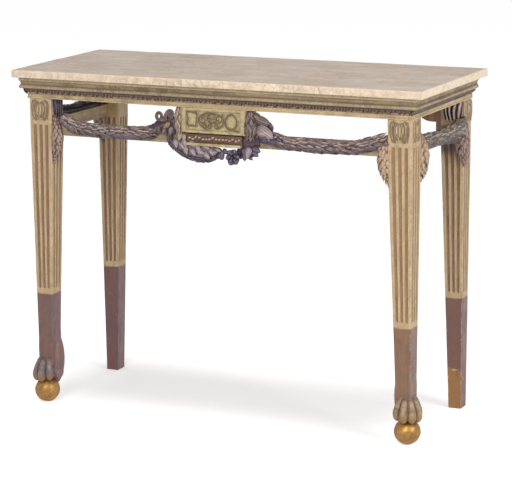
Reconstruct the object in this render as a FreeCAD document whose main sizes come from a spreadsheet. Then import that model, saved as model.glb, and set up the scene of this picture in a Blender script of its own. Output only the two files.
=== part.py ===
import FreeCAD
import Part
import Sketcher
import math
import os
import re
from types import SimpleNamespace

# Pier table: a marble slab on a painted frame with fluted square legs, laurel garlands and paw feet.
# Millimetres. X runs along the length, -Y is the front, Z is up from the floor.

DRIVING_SIZES = {
    # Slab
    "table_height": 900.0,
    "top_length": 1144.0,
    "top_depth": 476.0,
    "top_thick": 20.0,
    "top_arris": 1.5,
    "bed_gap": 0.3,
    # Where the legs stand under the slab
    "end_overhang": 36.0,
    "front_overhang": 28.0,
    "back_overhang": 21.0,
    # Legs
    "leg_width": 64.0,
    "front_leg_depth": 64.0,
    "back_leg_depth": 56.0,
    "toe_width": 35.0,
    "front_toe_depth": 40.0,
    "back_toe_depth": 40.0,
    "toe_outer_inset": 5.0,
    "toe_front_inset": 10.0,
    "shank_bottom": 118.0,
    # Flutes; a fall is a distance down from the underside of the fascia
    "flute_width": 10.0,
    "flute_pitch": 17.0,
    "flute_bottom": 319.0,
    "front_flute_fall": 74.0,
    "back_flute_fall": 105.0,
    # Sunk panels and carved ovals on the front leg blocks
    "panel_width": 46.0,
    "panel_height": 50.0,
    "panel_depth": 3.0,
    "panel_drop": 7.0,
    "patera_width": 42.0,
    "patera_height": 46.0,
    "patera_relief": 5.0,
    # Frieze, from the slab down
    "cornice_height": 29.0,
    "cornice_reach": 20.0,
    "cornice_dip": 17.0,
    "cornice_neck": 15.0,
    "torus_height": 12.0,
    "fillet_height": 8.0,
    "leaf_height": 14.0,
    "fascia_height": 12.0,
    "fascia_thick": 4.0,
    "frieze_thick": 22.0,
    # Mortise and tenon joints
    "tenon_thick": 8.0,
    "tenon_length": 28.0,
    "tenon_height": 36.0,
    "tenon_gap": 0.2,
    "peg_diameter": 6.0,
    "peg_length": 30.0,
    # Bearers and corner blocks inside the frame
    "bearer_width": 40.0,
    "bearer_height": 25.0,
    "bearer_offset": 260.0,
    "bearer_stub": 10.0,
    "corner_block_side": 28.0,
    "corner_block_height": 40.0,
    # Rails that carry the garlands
    "swag_rail_fall": 64.0,
    "swag_rail_height": 33.0,
    "swag_rail_thick": 18.0,
    "swag_rail_inset": 14.0,
    "swag_tenon_length": 20.0,
    "swag_tenon_height": 18.0,
    # Garlands, drops and ribbons
    "garland_height": 38.0,
    "garland_depth": 22.0,
    "garland_high_fall": 53.0,
    "garland_low_fall": 81.0,
    "end_garland_high_fall": 59.0,
    "end_garland_low_fall": 71.0,
    "drop_width": 28.0,
    "drop_depth": 27.0,
    "drop_length": 128.0,
    "drop_fall": 41.0,
    "drop_inset": 10.0,
    "ribbon_width": 58.0,
    "ribbon_thick": 9.0,
    "ribbon_height": 53.0,
    "pleat_diameter": 13.0,
    # Tablet at the middle of the front
    "tablet_width": 176.0,
    "tablet_depth": 30.0,
    "tablet_cant": 20.0,
    "tablet_reach": 6.0,
    "sunk_width": 152.0,
    "sunk_height": 48.0,
    "sunk_depth": 4.0,
    "carving_plate": 1.5,
    "carving_relief": 4.5,
    "rosette_diameter": 44.0,
    "oval_width": 32.0,
    "oval_height": 38.0,
    "oval_offset": 54.0,
    "strip_width": 156.0,
    "strip_height": 22.0,
    "strip_depth": 16.0,
    "base_width": 152.0,
    "base_height": 7.0,
    "base_depth": 20.0,
    # Bunches beside and below the tablet
    "bunch_depth": 27.0,
    "left_bunch_width": 66.0,
    "left_bunch_height": 68.0,
    "left_bunch_offset": 141.0,
    "right_bunch_width": 70.0,
    "right_bunch_height": 64.0,
    "right_bunch_offset": 136.0,
    "bunch_middle_fall": 35.0,
    "festoon_diameter": 17.0,
    "festoon_fall": 131.0,
    "festoon_left": 128.0,
    "festoon_right": 74.0,
    "sprig_width": 62.0,
    "sprig_height": 46.0,
    "sprig_depth": 20.0,
    "sprig_offset": 104.0,
    "sprig_middle_fall": 101.0,
    "flower_diameter": 37.0,
    "flower_height": 44.0,
    "flower_offset": 53.0,
    "flower_middle_fall": 121.0,
    # Paw feet on balls
    "ball_diameter": 68.0,
    "ball_flat": 1.0,
    "ball_offset": 9.0,
    "paw_gap": 0.2,
    "instep_length": 62.0,
    "instep_width": 54.0,
    "instep_height": 76.0,
    "instep_middle": 96.0,
    "heel_length": 48.0,
    "heel_width": 42.0,
    "heel_height": 96.0,
    "heel_middle": 114.0,
    "heel_offset": 20.0,
    "toe_length": 34.0,
    "toe_breadth": 21.0,
    "toe_height": 40.0,
    "toe_middle": 66.0,
    "toe_circle": 60.0,
    "dowel_diameter": 12.0,
    "dowel_bottom": 24.0,
    "dowel_top": 150.0,
    # Shaped bracket in the back right corner
    "bracket_length": 86.0,
    "bracket_drop": 66.0,
    "bracket_stem": 26.0,
    "bracket_stem_drop": 92.0,
    "bracket_round": 48.0,
    "bracket_thick": 20.0,
    # Amount that a cutting shape runs past the face it cuts
    "overrun": 2.0,
}

TOE_ANGLES = (-62.0, -21.0, 21.0, 62.0)
FLUTE_PLACES = (-1, 0, 1)
# Turn that keeps a flute cutter's seam off the faces it cuts
FLUTE_SEAM_TURN = 37.0
PLEAT_PLACES = (-2, -1, 0, 1, 2)
FACE_TURNS = {"front": 180.0, "right": -90.0, "left": 90.0, "back": 0.0}
FACE_NORMALS = {"front": (0, -1), "right": (1, 0), "left": (-1, 0), "back": (0, 1)}
# Festoon route: share of its span from the left bunch, and share of its drop
FESTOON_SPAN_SHARES = (0.0, 0.05, 0.14, 0.27, 0.47, 0.70, 1.0)
FESTOON_DROP_SHARES = (0.0, 0.46, 0.73, 0.92, 1.0, 0.90, 0.76)

doc = FreeCAD.newDocument("pier_table")
sheet = doc.addObject("Spreadsheet::Sheet", "Sizes")
for row, (alias, value) in enumerate(DRIVING_SIZES.items(), start=1):
    sheet.set(f"A{row}", alias)
    sheet.set(f"B{row}", str(value))
    sheet.setAlias(f"B{row}", alias)
doc.recompute()
size = SimpleNamespace(**{alias: float(sheet.get(alias)) for alias in DRIVING_SIZES})

# Planes that several pieces share
leg_x = size.top_length / 2 - size.end_overhang
front_y = size.front_overhang - size.top_depth / 2
back_y = size.top_depth / 2 - size.back_overhang
inner_x = leg_x - size.leg_width
front_inner_y = front_y + size.front_leg_depth
back_inner_y = back_y - size.back_leg_depth
frame_top = size.table_height - size.top_thick - size.bed_gap
frieze_height = size.cornice_height + size.leaf_height + size.fascia_height
fascia_bottom = frame_top - frieze_height
swag_rail_top = fascia_bottom - size.swag_rail_fall
swag_rail_bottom = swag_rail_top - size.swag_rail_height
swag_front_y = front_y + size.swag_rail_inset
swag_end_x = leg_x - size.swag_rail_inset
tablet_face_y = front_y - size.tablet_reach
bunch_middle = fascia_bottom - size.bunch_middle_fall

nodes = []


def vec(x, y, z):
    """Return a point or direction."""
    return FreeCAD.Vector(x, y, z)


def bound(text):
    """Return an expression in which each size name points at its cell of the sheet."""
    return re.sub("[a-z_]+", lambda word: f"Sizes.{word[0]}", text)


def node(obj, name):
    """Name an object as one of the table's pieces."""
    obj.Label = name
    nodes.append(obj)
    return obj


def primitive(kind, sizes, at, turn=0.0):
    """Add a Part primitive whose sizes are expressions, at a point, turned about Z."""
    obj = doc.addObject(kind, "solid")
    for prop, text in sizes.items():
        obj.setExpression(prop, bound(text))
    obj.Placement = FreeCAD.Placement(vec(*at), FreeCAD.Rotation(vec(0, 0, 1), turn))
    return obj


def box(length, width, height, at):
    """Add a board by its three sizes and its lowest corner."""
    return primitive("Part::Box", {"Length": length, "Width": width, "Height": height}, at)


def half_dome(across, tall, deep, at, facing):
    """Add half an ellipsoid with its flat back at a point, facing one side of the table."""
    sizes = {"Radius1": f"({tall}) / 2", "Radius2": f"{across} / 2", "Radius3": deep}
    dome = primitive("Part::Ellipsoid", sizes, at, FACE_TURNS[facing])
    dome.Angle3 = 180
    return dome


def rod(diameter, length, at, direction):
    """Add a round rod from a point along a direction."""
    obj = primitive("Part::Cylinder", {"Radius": f"{diameter} / 2", "Height": length}, at)
    obj.Placement.Rotation = FreeCAD.Rotation(vec(0, 0, 1), vec(*direction))
    return obj


def fuse(parts):
    """Join parts into one solid."""
    obj = doc.addObject("Part::MultiFuse", "joined")
    obj.Shapes = parts
    obj.Refine = True
    return obj


def cut(base, tools):
    """Cut a list of tools out of a base, one after another."""
    for tool in tools:
        obj = doc.addObject("Part::Cut", "shaped")
        obj.Base = base
        obj.Tool = tool
        base = obj
    return base


def group(parts):
    """Hold alike loose pieces together as one node of separate solids."""
    obj = doc.addObject("Part::Compound", "group")
    obj.Links = parts
    return obj


def feature(shape):
    """Add a shape that Part's own functions made."""
    obj = doc.addObject("Part::Feature", "form")
    obj.Shape = shape
    return obj


def polygon_prism(points, bottom, height):
    """Return an upright prism on a plan outline."""
    corners = [vec(x, y, bottom) for x, y in points]
    face = Part.Face(Part.makePolygon(corners + corners[:1]))
    return face.extrude(vec(0, 0, height))


def rectangle(section, z):
    """Return the closed outline of a leg section (left, right, front, back) at a height."""
    left, right, front, back = section
    corners = [vec(left, front, z), vec(right, front, z), vec(right, back, z), vec(left, back, z)]
    return Part.makePolygon(corners + corners[:1])


class Leg:
    """One square tapered leg: its place, its sections and the faces that others touch."""

    def __init__(self, side, row):
        self.side = -1 if side == "left" else 1
        self.row = row
        self.name = f"leg_{row}_{side}"
        self.front = front_y if row == "front" else back_inner_y
        self.back = front_inner_y if row == "front" else back_y
        self.toe_depth = size.front_toe_depth if row == "front" else size.back_toe_depth
        self.bottom = size.shank_bottom if row == "front" else 0.0
        self.flute_top = fascia_bottom - (size.front_flute_fall if row == "front" else size.back_flute_fall)

    def section(self, z):
        """Return (left, right, front, back) of the leg at a height."""
        fall = max(swag_rail_bottom - z, 0.0) / swag_rail_bottom
        outer = leg_x - fall * size.toe_outer_inset
        width = size.leg_width - fall * (size.leg_width - size.toe_width)
        full_depth = self.back - self.front
        front = self.front + fall * size.toe_front_inset
        depth = full_depth - fall * (full_depth - self.toe_depth)
        left, right = sorted((self.side * outer, self.side * (outer - width)))
        return left, right, front, front + depth

    def face_middle(self, facing, z):
        """Return the middle of one face at a height."""
        left, right, front, back = self.section(z)
        across = {"left": left, "right": right}.get(facing, (left + right) / 2)
        along = {"front": front, "back": back}.get(facing, (front + back) / 2)
        return vec(across, along, z)

    def face_width(self, facing, z):
        """Return the width of one face at a height."""
        left, right, front, back = self.section(z)
        return right - left if facing in ("front", "back") else back - front

    def fluted_faces(self):
        """Return the faces that carry flutes: a back leg's wall side is plain."""
        return ("front", "left", "right", "back") if self.row == "front" else ("front", "left", "right")

    def fluted(self):
        """Return the leg with its flutes cut, one at a time."""
        shape = self.blank()
        for cutter in self.flute_cutters():
            shape = shape.cut(cutter)
        return shape

    def blank(self):
        """Return the plain leg: a square block over a tapered shank."""
        start = swag_rail_bottom
        block = Part.Face(rectangle(self.section(start), start)).extrude(vec(0, 0, frame_top - start))
        ends = [rectangle(self.section(z), z) for z in (self.bottom, start)]
        return block.fuse(Part.makeLoft(ends, True, True)).removeSplitter()

    def flute_cutters(self):
        """Return the round-ended cutters of all flutes."""
        cutters = []
        for facing in self.fluted_faces():
            normal = FACE_NORMALS[facing]
            for place in FLUTE_PLACES:
                ends = []
                for z in (size.flute_bottom, self.flute_top):
                    scale = self.face_width(facing, z) / size.leg_width
                    step = place * size.flute_pitch * scale
                    middle = self.face_middle(facing, z) + vec(-normal[1] * step, normal[0] * step, 0)
                    ends.append((middle, size.flute_width * scale / 2))
                cutters.append(flute_cutter(*ends))
        return cutters


def flute_cutter(lower, upper):
    """Return a long round-ended cutter between two (end centre, radius) pairs."""
    (start, start_radius), (end, end_radius) = lower, upper
    axis = end - start
    length = axis.Length - end_radius
    slant = math.sqrt(0.5)
    low, high = vec(0, 0, start_radius), vec(0, 0, length)
    low_side, high_side = low + vec(start_radius, 0, 0), high + vec(end_radius, 0, 0)
    base, tip = vec(0, 0, 0), high + vec(0, 0, end_radius)
    low_arc = Part.Arc(base, low + vec(slant, 0, -slant) * start_radius, low_side)
    high_arc = Part.Arc(high_side, high + vec(slant, 0, slant) * end_radius, tip)
    side, axle = Part.makeLine(low_side, high_side), Part.makeLine(tip, base)
    outline = Part.Wire([low_arc.toShape(), side, high_arc.toShape(), axle])
    solid = Part.Face(outline).revolve(base, vec(0, 0, 1), 360)
    seam = FreeCAD.Rotation(vec(0, 0, 1), FLUTE_SEAM_TURN)
    solid.Placement = FreeCAD.Placement(start, FreeCAD.Rotation(vec(0, 0, 1), axis).multiply(seam))
    return solid


legs = {(side, row): Leg(side, row) for row in ("front", "back") for side in ("left", "right")}


def grown(corner, extents):
    """Return a mortise: the tenon's box made larger all round by the joint gap."""
    gap = size.tenon_gap
    corner = [value - gap for value in corner]
    extents = [value + 2 * gap for value in extents]
    return feature(Part.makeBox(*extents, vec(*corner)))


class Rail:
    """A straight rail with a tenon at each end, between the two legs of one side of the table."""

    def __init__(self, kind, side, across, bottom, height_text):
        self.name = f"{kind}_rail_{side}"
        self.axis = "x" if side in ("front", "back") else "y"
        if self.axis == "x":
            self.leg_keys = (("left", side), ("right", side))
            self.start, self.end = -inner_x, inner_x
        else:
            self.leg_keys = ((side, "front"), (side, "back"))
            self.start, self.end = front_inner_y, back_inner_y
        self.across = across
        self.bottom = bottom
        self.height_text = height_text
        self.height = frieze_height if kind == "frieze" else size.swag_rail_height
        self.thick_name = "frieze_thick" if kind == "frieze" else "swag_rail_thick"
        self.thick = getattr(size, self.thick_name)
        self.tenon_length_name = "tenon_length" if kind == "frieze" else "swag_tenon_length"
        self.tenon_height_name = "tenon_height" if kind == "frieze" else "swag_tenon_height"
        self.tenon_length = getattr(size, self.tenon_length_name)
        self.tenon_height = getattr(size, self.tenon_height_name)
        self.tenon_bottom = bottom + (self.height - self.tenon_height) / 2

    def span_text(self):
        """Return the expression for the rail's length between its shoulders."""
        if self.axis == "x":
            return "top_length - 2 * end_overhang - 2 * leg_width"
        return "top_depth - front_overhang - back_overhang - front_leg_depth - back_leg_depth"

    def placed(self, along, across, z):
        """Return a point from its places along and across the rail."""
        return (along, across, z) if self.axis == "x" else (across, along, z)

    def tenon_corners(self):
        """Return the lowest corner of each tenon."""
        across = self.across + (self.thick - size.tenon_thick) / 2
        starts = (self.start - self.tenon_length, self.end)
        return [self.placed(along, across, self.tenon_bottom) for along in starts]

    def tenon_extents(self):
        """Return the three sizes of a tenon."""
        return self.placed(self.tenon_length, size.tenon_thick, self.tenon_height)

    def mortises(self):
        """Return the cutters that the two legs need."""
        return [grown(corner, self.tenon_extents()) for corner in self.tenon_corners()]

    def build(self):
        """Return the rail with its tenons."""
        board_sizes = self.placed(self.span_text(), self.thick_name, self.height_text)
        parts = [box(*board_sizes, self.placed(self.start, self.across, self.bottom))]
        tenon_sizes = self.placed(self.tenon_length_name, "tenon_thick", self.tenon_height_name)
        parts += [box(*tenon_sizes, corner) for corner in self.tenon_corners()]
        return fuse(parts)

    def peg_places(self):
        """Return the middle of each tenon along the rail and up."""
        half = self.tenon_length / 2
        middle = self.tenon_bottom + self.tenon_height / 2
        return [(self.start - half, middle), (self.end + half, middle)]


def all_rails():
    """Return the frieze rails of all four sides and the swag rails of the front and both ends."""
    frieze_text = "cornice_height + leaf_height + fascia_height"
    frieze_places = {"front": front_y, "back": back_y - size.frieze_thick,
                     "left": -leg_x, "right": leg_x - size.frieze_thick}
    swag_places = {"front": swag_front_y, "left": -swag_end_x, "right": swag_end_x - size.swag_rail_thick}
    made = [Rail("frieze", side, across, fascia_bottom, frieze_text)
            for side, across in frieze_places.items()]
    made += [Rail("swag", side, across, swag_rail_bottom, "swag_rail_height")
             for side, across in swag_places.items()]
    return {rail.name: rail for rail in made}


rails = all_rails()


def peg_rods():
    """Return the pegs that pin the frieze tenons, keyed by rail and end."""
    pegs = {}
    outward = {"front": (0, -1, 0), "back": (0, 1, 0), "left": (-1, 0, 0), "right": (1, 0, 0)}
    faces = {"front": front_y, "back": back_y, "left": -leg_x, "right": leg_x}
    for side, normal in outward.items():
        rail = rails[f"frieze_rail_{side}"]
        inward = tuple(-value for value in normal)
        for end, (along, z) in enumerate(rail.peg_places()):
            at = rail.placed(along, faces[side], z)
            pegs[(rail.name, end)] = rod("peg_diameter", "peg_length", at, inward)
    return pegs


def diagonal(side):
    """Return the outward diagonal of a front foot."""
    return vec(side, -1, 0).normalize()


def foot_centre(leg):
    """Return the plan centre of a ball foot, a little outward of its leg."""
    left, right, front, back = leg.section(leg.bottom)
    return vec((left + right) / 2, (front + back) / 2, 0) + diagonal(leg.side) * size.ball_offset


def foot_dowel(leg):
    """Return the dowel through ball, paw and shank."""
    centre = foot_centre(leg)
    at = (centre.x, centre.y, size.dowel_bottom)
    return rod("dowel_diameter", "dowel_top - dowel_bottom", at, (0, 0, 1))


def panel_middle():
    """Return the height of the middle of the sunk leg panels."""
    return fascia_bottom - size.panel_drop - size.panel_height / 2


def sunk_panel(leg, facing):
    """Return the cutter of the sunk panel on one face of a leg block."""
    middle = leg.face_middle(facing, panel_middle())
    normal = vec(*FACE_NORMALS[facing], 0)
    along = vec(abs(normal.y), abs(normal.x), 0)
    deep = vec(abs(normal.x), abs(normal.y), 0)
    extents = along * size.panel_width + vec(0, 0, size.panel_height)
    extents += deep * (size.panel_depth + size.overrun)
    inset = (size.overrun - size.panel_depth) / 2
    corner = middle + normal * inset - extents / 2
    return feature(Part.makeBox(extents.x, extents.y, extents.z, corner))


def outer_face(leg):
    """Return the name of a leg's face at the end of the table."""
    return "left" if leg.side < 0 else "right"


pegs = peg_rods()
dowels = {key: foot_dowel(leg) for key, leg in legs.items() if leg.row == "front"}


def build_legs():
    """Shape the four legs: flutes, mortises, peg holes and, in front, panels and dowel holes."""
    for key, leg in legs.items():
        tools = []
        for rail in rails.values():
            if key in rail.leg_keys:
                end = rail.leg_keys.index(key)
                tools.append(rail.mortises()[end])
                tools += [pegs[(rail.name, end)]] if (rail.name, end) in pegs else []
        if leg.row == "front":
            tools += [sunk_panel(leg, facing) for facing in ("front", outer_face(leg))]
            tools.append(dowels[key])
        node(cut(feature(leg.fluted()), tools), leg.name)


def bearer_places():
    """Return the left edges of the two bearers under the slab."""
    return [side * size.bearer_offset - size.bearer_width / 2 for side in (-1, 1)]


def bearer_extents():
    """Return the full bearer with its stubs: its front end and its length."""
    start = front_y + size.frieze_thick - size.bearer_stub
    end = back_y - size.frieze_thick + size.bearer_stub
    return start, end - start


def build_rails():
    """Shape the rails, the bearers let into them and the pegs that hold them."""
    start, length = bearer_extents()
    bottom = frame_top - size.bearer_height
    housings = [grown((left, start, bottom), (size.bearer_width, length, size.bearer_height))
                for left in bearer_places()]
    made = {}
    for name, rail in rails.items():
        tools = [peg for (rail_name, _), peg in pegs.items() if rail_name == name]
        if name in ("frieze_rail_front", "frieze_rail_back"):
            tools += housings
        made[name] = node(cut(rail.build(), tools), name)
    length_text = "top_depth - front_overhang - back_overhang - 2 * frieze_thick + 2 * bearer_stub"
    for side, left in zip(("left", "right"), bearer_places()):
        node(box("bearer_width", length_text, "bearer_height", (left, start, bottom)), f"bearer_{side}")
    node(group(list(pegs.values())), "tenon_pegs")
    side = size.corner_block_side
    rows = (front_y + size.frieze_thick, back_y - size.frieze_thick - side)
    places = [(x, y) for x in (-inner_x, inner_x - side) for y in rows]
    lift = frame_top - size.corner_block_height - size.bed_gap
    block_sizes = ("corner_block_side", "corner_block_side", "corner_block_height")
    node(group([box(*block_sizes, (x, y, lift)) for x, y in places]), "corner_blocks")
    return made


def mitred_run(side, outline, reach):
    """Return one length of moulding from a (reach, height) outline, mitred at the front corners."""
    outer_x, outer_y = leg_x + reach, front_y - reach
    plans = {
        "front": [(-leg_x, front_y), (leg_x, front_y), (outer_x, outer_y), (-outer_x, outer_y)],
        "right": [(leg_x, front_y), (outer_x, outer_y), (outer_x, back_y), (leg_x, back_y)],
    }
    plans["left"] = [(-x, y) for x, y in plans["right"]]
    normal = FACE_NORMALS[side]
    if side == "front":
        start, length = vec(-outer_x, front_y, 0), vec(2 * outer_x, 0, 0)
    else:
        start, length = vec(normal[0] * leg_x, outer_y, 0), vec(0, back_y - outer_y, 0)

    def placed(point):
        return start + vec(normal[0] * point[0], normal[1] * point[0], point[1])

    edges = []
    for stretch in outline:
        points = [placed(point) for point in stretch]
        edges.append(Part.Arc(*points).toShape() if len(points) == 3 else Part.makeLine(*points))
    run = Part.Face(Part.Wire(edges)).extrude(length)
    bottom = min(point[1] for stretch in outline for point in stretch)
    top = max(point[1] for stretch in outline for point in stretch)
    return feature(run.common(polygon_prism(plans[side], bottom, top - bottom)))


def closed(points):
    """Return the straight stretches of a closed outline."""
    return list(zip(points, points[1:] + points[:1]))


def cornice_outline():
    """Return the cornice: a torus below, a hollow, and a square fillet under the slab."""
    bottom = frame_top - size.cornice_height
    torus_top = bottom + size.torus_height
    fillet_bottom = frame_top - size.fillet_height
    hollow_middle = (size.cornice_dip, (torus_top + fillet_bottom) / 2)
    torus_middle = (size.cornice_reach, bottom + size.torus_height / 2)
    neck, lip = (size.cornice_neck, bottom), (size.cornice_reach, fillet_bottom)
    shoulder = ((size.cornice_dip + size.cornice_reach) / 2, torus_top)
    corner = (size.cornice_reach, frame_top)
    return [((0, bottom), neck), (neck, torus_middle, shoulder), (shoulder, hollow_middle, lip),
            (lip, corner), (corner, (0, frame_top)), ((0, frame_top), (0, bottom))]


def leaf_outline():
    """Return the leaf moulding: it slants in from the cornice to the fascia."""
    bottom = fascia_bottom + size.fascia_height
    top = bottom + size.leaf_height
    return closed([(0, bottom), (size.fascia_thick, bottom), (size.cornice_neck, top), (0, top)])


def fascia_outline():
    """Return the flat fascia below the leaf moulding."""
    bottom, top = fascia_bottom, fascia_bottom + size.fascia_height
    return closed([(0, bottom), (size.fascia_thick, bottom), (size.fascia_thick, top), (0, top)])


def build_mouldings():
    """Shape the three mitred mouldings round the front and both ends."""
    for side in ("front", "left", "right"):
        node(mitred_run(side, cornice_outline(), size.cornice_reach), f"cornice_{side}")
        node(mitred_run(side, leaf_outline(), size.cornice_neck), f"leaf_moulding_{side}")
        node(mitred_run(side, fascia_outline(), size.fascia_thick), f"fascia_{side}")


def origin_plane(body, role):
    """Return one of a body's own origin planes."""
    return next(plane for plane in body.Origin.OriginFeatures if plane.Role == role)


def sketch_on(body, role, name):
    """Add a sketch on one of a body's origin planes."""
    sketch = body.newObject("Sketcher::SketchObject", name)
    sketch.AttachmentSupport = [(origin_plane(body, role), "")]
    sketch.MapMode = "FlatFace"
    return sketch


def named(sketch, constraint, name, text):
    """Add a driven constraint to a sketch and bind it to the sheet."""
    index = sketch.addConstraint(constraint)
    sketch.renameConstraint(index, name)
    sketch.setExpression(f"Constraints.{name}", bound(text))


def outline_sketch(sketch, points):
    """Draw a closed outline of straight lines through points and join their ends."""
    lines = [sketch.addGeometry(Part.LineSegment(start, end))
             for start, end in zip(points, points[1:] + points[:1])]
    for first, second in zip(lines, lines[1:] + lines[:1]):
        sketch.addConstraint(Sketcher.Constraint("Coincident", first, 2, second, 1))
    return lines


def centred_rectangle(sketch, width, depth, width_text, depth_text):
    """Draw a rectangle about the sketch's origin, with both sizes bound to the sheet."""
    signs = ((-1, -1), (1, -1), (1, 1), (-1, 1))
    lines = outline_sketch(sketch, [vec(x * width / 2, y * depth / 2, 0) for x, y in signs])
    for line, kind in zip(lines, ("Horizontal", "Vertical", "Horizontal", "Vertical")):
        sketch.addConstraint(Sketcher.Constraint(kind, line))
    sketch.addConstraint(Sketcher.Constraint("Symmetric", lines[0], 1, lines[2], 1, -1, 1))
    named(sketch, Sketcher.Constraint("DistanceX", lines[0], 1, lines[0], 2, width), "across", width_text)
    named(sketch, Sketcher.Constraint("DistanceY", lines[1], 1, lines[1], 2, depth), "along", depth_text)


def pad(body, sketch, text):
    """Pad a sketch by a size of the sheet."""
    solid = body.newObject("PartDesign::Pad", "pad")
    solid.Profile = sketch
    solid.setExpression("Length", bound(text))
    sketch.Visibility = False
    doc.recompute()
    return solid


def build_top():
    """Shape the marble slab with a small arris round its upper edge."""
    body = doc.addObject("PartDesign::Body", "slab")
    sketch = sketch_on(body, "XY_Plane", "slab_plan")
    centred_rectangle(sketch, size.top_length, size.top_depth, "top_length", "top_depth")
    slab = pad(body, sketch, "top_thick")
    upper = [f"Edge{index}" for index, edge in enumerate(slab.Shape.Edges, start=1)
             if edge.BoundBox.ZMin > size.top_thick / 2]
    arris = body.newObject("PartDesign::Chamfer", "arris")
    arris.Base = (slab, upper)
    arris.setExpression("Size", bound("top_arris"))
    body.Tip = arris
    body.Placement.Base = vec(0, 0, size.table_height - size.top_thick)
    node(body, "marble_top")


def build_tablet():
    """Shape the tablet, its carving, the leaf strip below it and the fillet under that."""
    half, cant_y = size.tablet_width / 2, tablet_face_y + size.tablet_cant
    wide, back = half + size.tablet_cant, tablet_face_y + size.tablet_depth
    right_side = [(half, tablet_face_y), (wide, cant_y), (wide, back)]
    plan = right_side + [(-x, y) for x, y in reversed(right_side)]
    blank = feature(polygon_prism(plan, swag_rail_top, fascia_bottom - swag_rail_top))
    middle = (swag_rail_top + fascia_bottom) / 2
    corner = (-size.sunk_width / 2, tablet_face_y - size.overrun, middle - size.sunk_height / 2)
    sunk = box("sunk_width", "sunk_depth + overrun", "sunk_height", corner)
    block = node(cut(blank, [sunk]), "tablet_block")

    floor_y = tablet_face_y + size.sunk_depth
    plate_y = floor_y - size.carving_plate
    plate_corner = (-size.sunk_width / 2, plate_y, middle - size.sunk_height / 2)
    rosette_at = (0, floor_y, middle)
    parts = [box("sunk_width", "carving_plate", "sunk_height", plate_corner),
             half_dome("rosette_diameter", "rosette_diameter", "carving_relief", rosette_at, "front")]
    for side in (-1, 1):
        at = (side * size.oval_offset, floor_y, middle)
        parts.append(half_dome("oval_width", "oval_height", "carving_relief", at, "front"))
    node(fuse(parts), "tablet_carving")

    strip_bottom = swag_rail_bottom + size.base_height
    strip_corner = (-size.strip_width / 2, swag_front_y - size.strip_depth, strip_bottom)
    strip = node(box("strip_width", "strip_depth", "strip_height", strip_corner), "tablet_leaf_strip")
    base_corner = (-size.base_width / 2, swag_front_y - size.base_depth, swag_rail_bottom)
    base = node(box("base_width", "base_depth", "base_height", base_corner), "tablet_base")
    return block, strip, base


def garland_tube(start, low, end, facing):
    """Return a garland through three points, flat at its back and rounded in front."""
    spine = Part.Wire(Part.Arc(start, low, end).toShape())
    direction = spine.Edges[0].tangentAt(spine.Edges[0].FirstParameter)
    outward = vec(*FACE_NORMALS[facing], 0)
    upward = outward.cross(direction)
    half = size.garland_height / 2
    curve = Part.Arc(start + upward * half, start + outward * size.garland_depth, start - upward * half)
    profile = Part.Wire([curve.toShape(), Part.makeLine(start - upward * half, start + upward * half)])
    return spine.makePipeShell([profile], True, False)


def build_bunches(block, strip, base):
    """Shape the ribbon bunches beside the tablet and the festoon, sprig and flower below it."""
    bunches = {}
    for side, sign in (("left", -1), ("right", 1)):
        offset = sign * getattr(size, f"{side}_bunch_offset")
        dome = half_dome(f"{side}_bunch_width", f"{side}_bunch_height", "bunch_depth",
                         (offset, swag_front_y, bunch_middle), "front")
        bunches[side] = node(cut(dome, [block, strip, base]), f"ribbon_bunch_{side}")

    radius = size.festoon_diameter / 2
    along_y = swag_front_y - radius - size.tenon_gap
    left = -size.festoon_left
    top = bunch_middle - size.left_bunch_height / 2
    span, sag = size.festoon_right - left, top - (fascia_bottom - size.festoon_fall)
    points = [vec(left + share * span, along_y, top - drop * sag)
              for share, drop in zip(FESTOON_SPAN_SHARES, FESTOON_DROP_SHARES)]
    curve = Part.BSplineCurve()
    curve.interpolate(points)
    spine = curve.toShape()
    ring = Part.Wire(Part.makeCircle(radius, points[0], spine.tangentAt(spine.FirstParameter)))
    tube = feature(Part.Wire(spine).makePipeShell([ring], True, False))
    festoon = node(cut(tube, [bunches["left"], strip, base]), "festoon")

    at = (size.sprig_offset, swag_front_y, fascia_bottom - size.sprig_middle_fall)
    sprig_dome = half_dome("sprig_width", "sprig_height", "sprig_depth", at, "front")
    sprig = node(cut(sprig_dome, [festoon, base, strip]), "leaf_sprig")
    at = (size.flower_offset, swag_front_y, fascia_bottom - size.flower_middle_fall)
    flower_dome = half_dome("flower_diameter", "flower_height", "bunch_depth", at, "front")
    node(cut(flower_dome, [festoon, sprig, base, strip]), "drop_flower")
    return bunches, festoon


def build_garlands(bunches, festoon):
    """Shape the four garlands: two along the front, one at each end."""
    garlands = {}
    for side, sign in (("left", -1), ("right", 1)):
        leg_blocks = [feature(legs[(side, row)].blank()) for row in ("front", "back")]
        tablet_x = sign * getattr(size, f"{side}_bunch_offset")
        leg_face = sign * inner_x
        high_z = fascia_bottom - size.garland_high_fall
        ends = [vec(x, swag_front_y, high_z) for x in sorted((leg_face, tablet_x))]
        low = vec((leg_face + tablet_x) / 2, swag_front_y, fascia_bottom - size.garland_low_fall)
        tube = feature(garland_tube(ends[0], low, ends[1], "front"))
        trimmed = cut(tube, [bunches[side], festoon, leg_blocks[0]])
        garlands[f"garland_front_{side}"] = node(trimmed, f"garland_front_{side}")
        end_x = sign * swag_end_x
        high_z = fascia_bottom - size.end_garland_high_fall
        start, end = (vec(end_x, y, high_z) for y in (front_inner_y, back_inner_y))
        low = vec(end_x, (front_inner_y + back_inner_y) / 2, fascia_bottom - size.end_garland_low_fall)
        tube = feature(garland_tube(start, low, end, side))
        garlands[f"garland_{side}"] = node(cut(tube, leg_blocks), f"garland_{side}")
    return garlands


def inner_face(leg):
    """Return the name of a leg's face towards the middle of the table."""
    return "right" if leg.side < 0 else "left"


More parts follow.
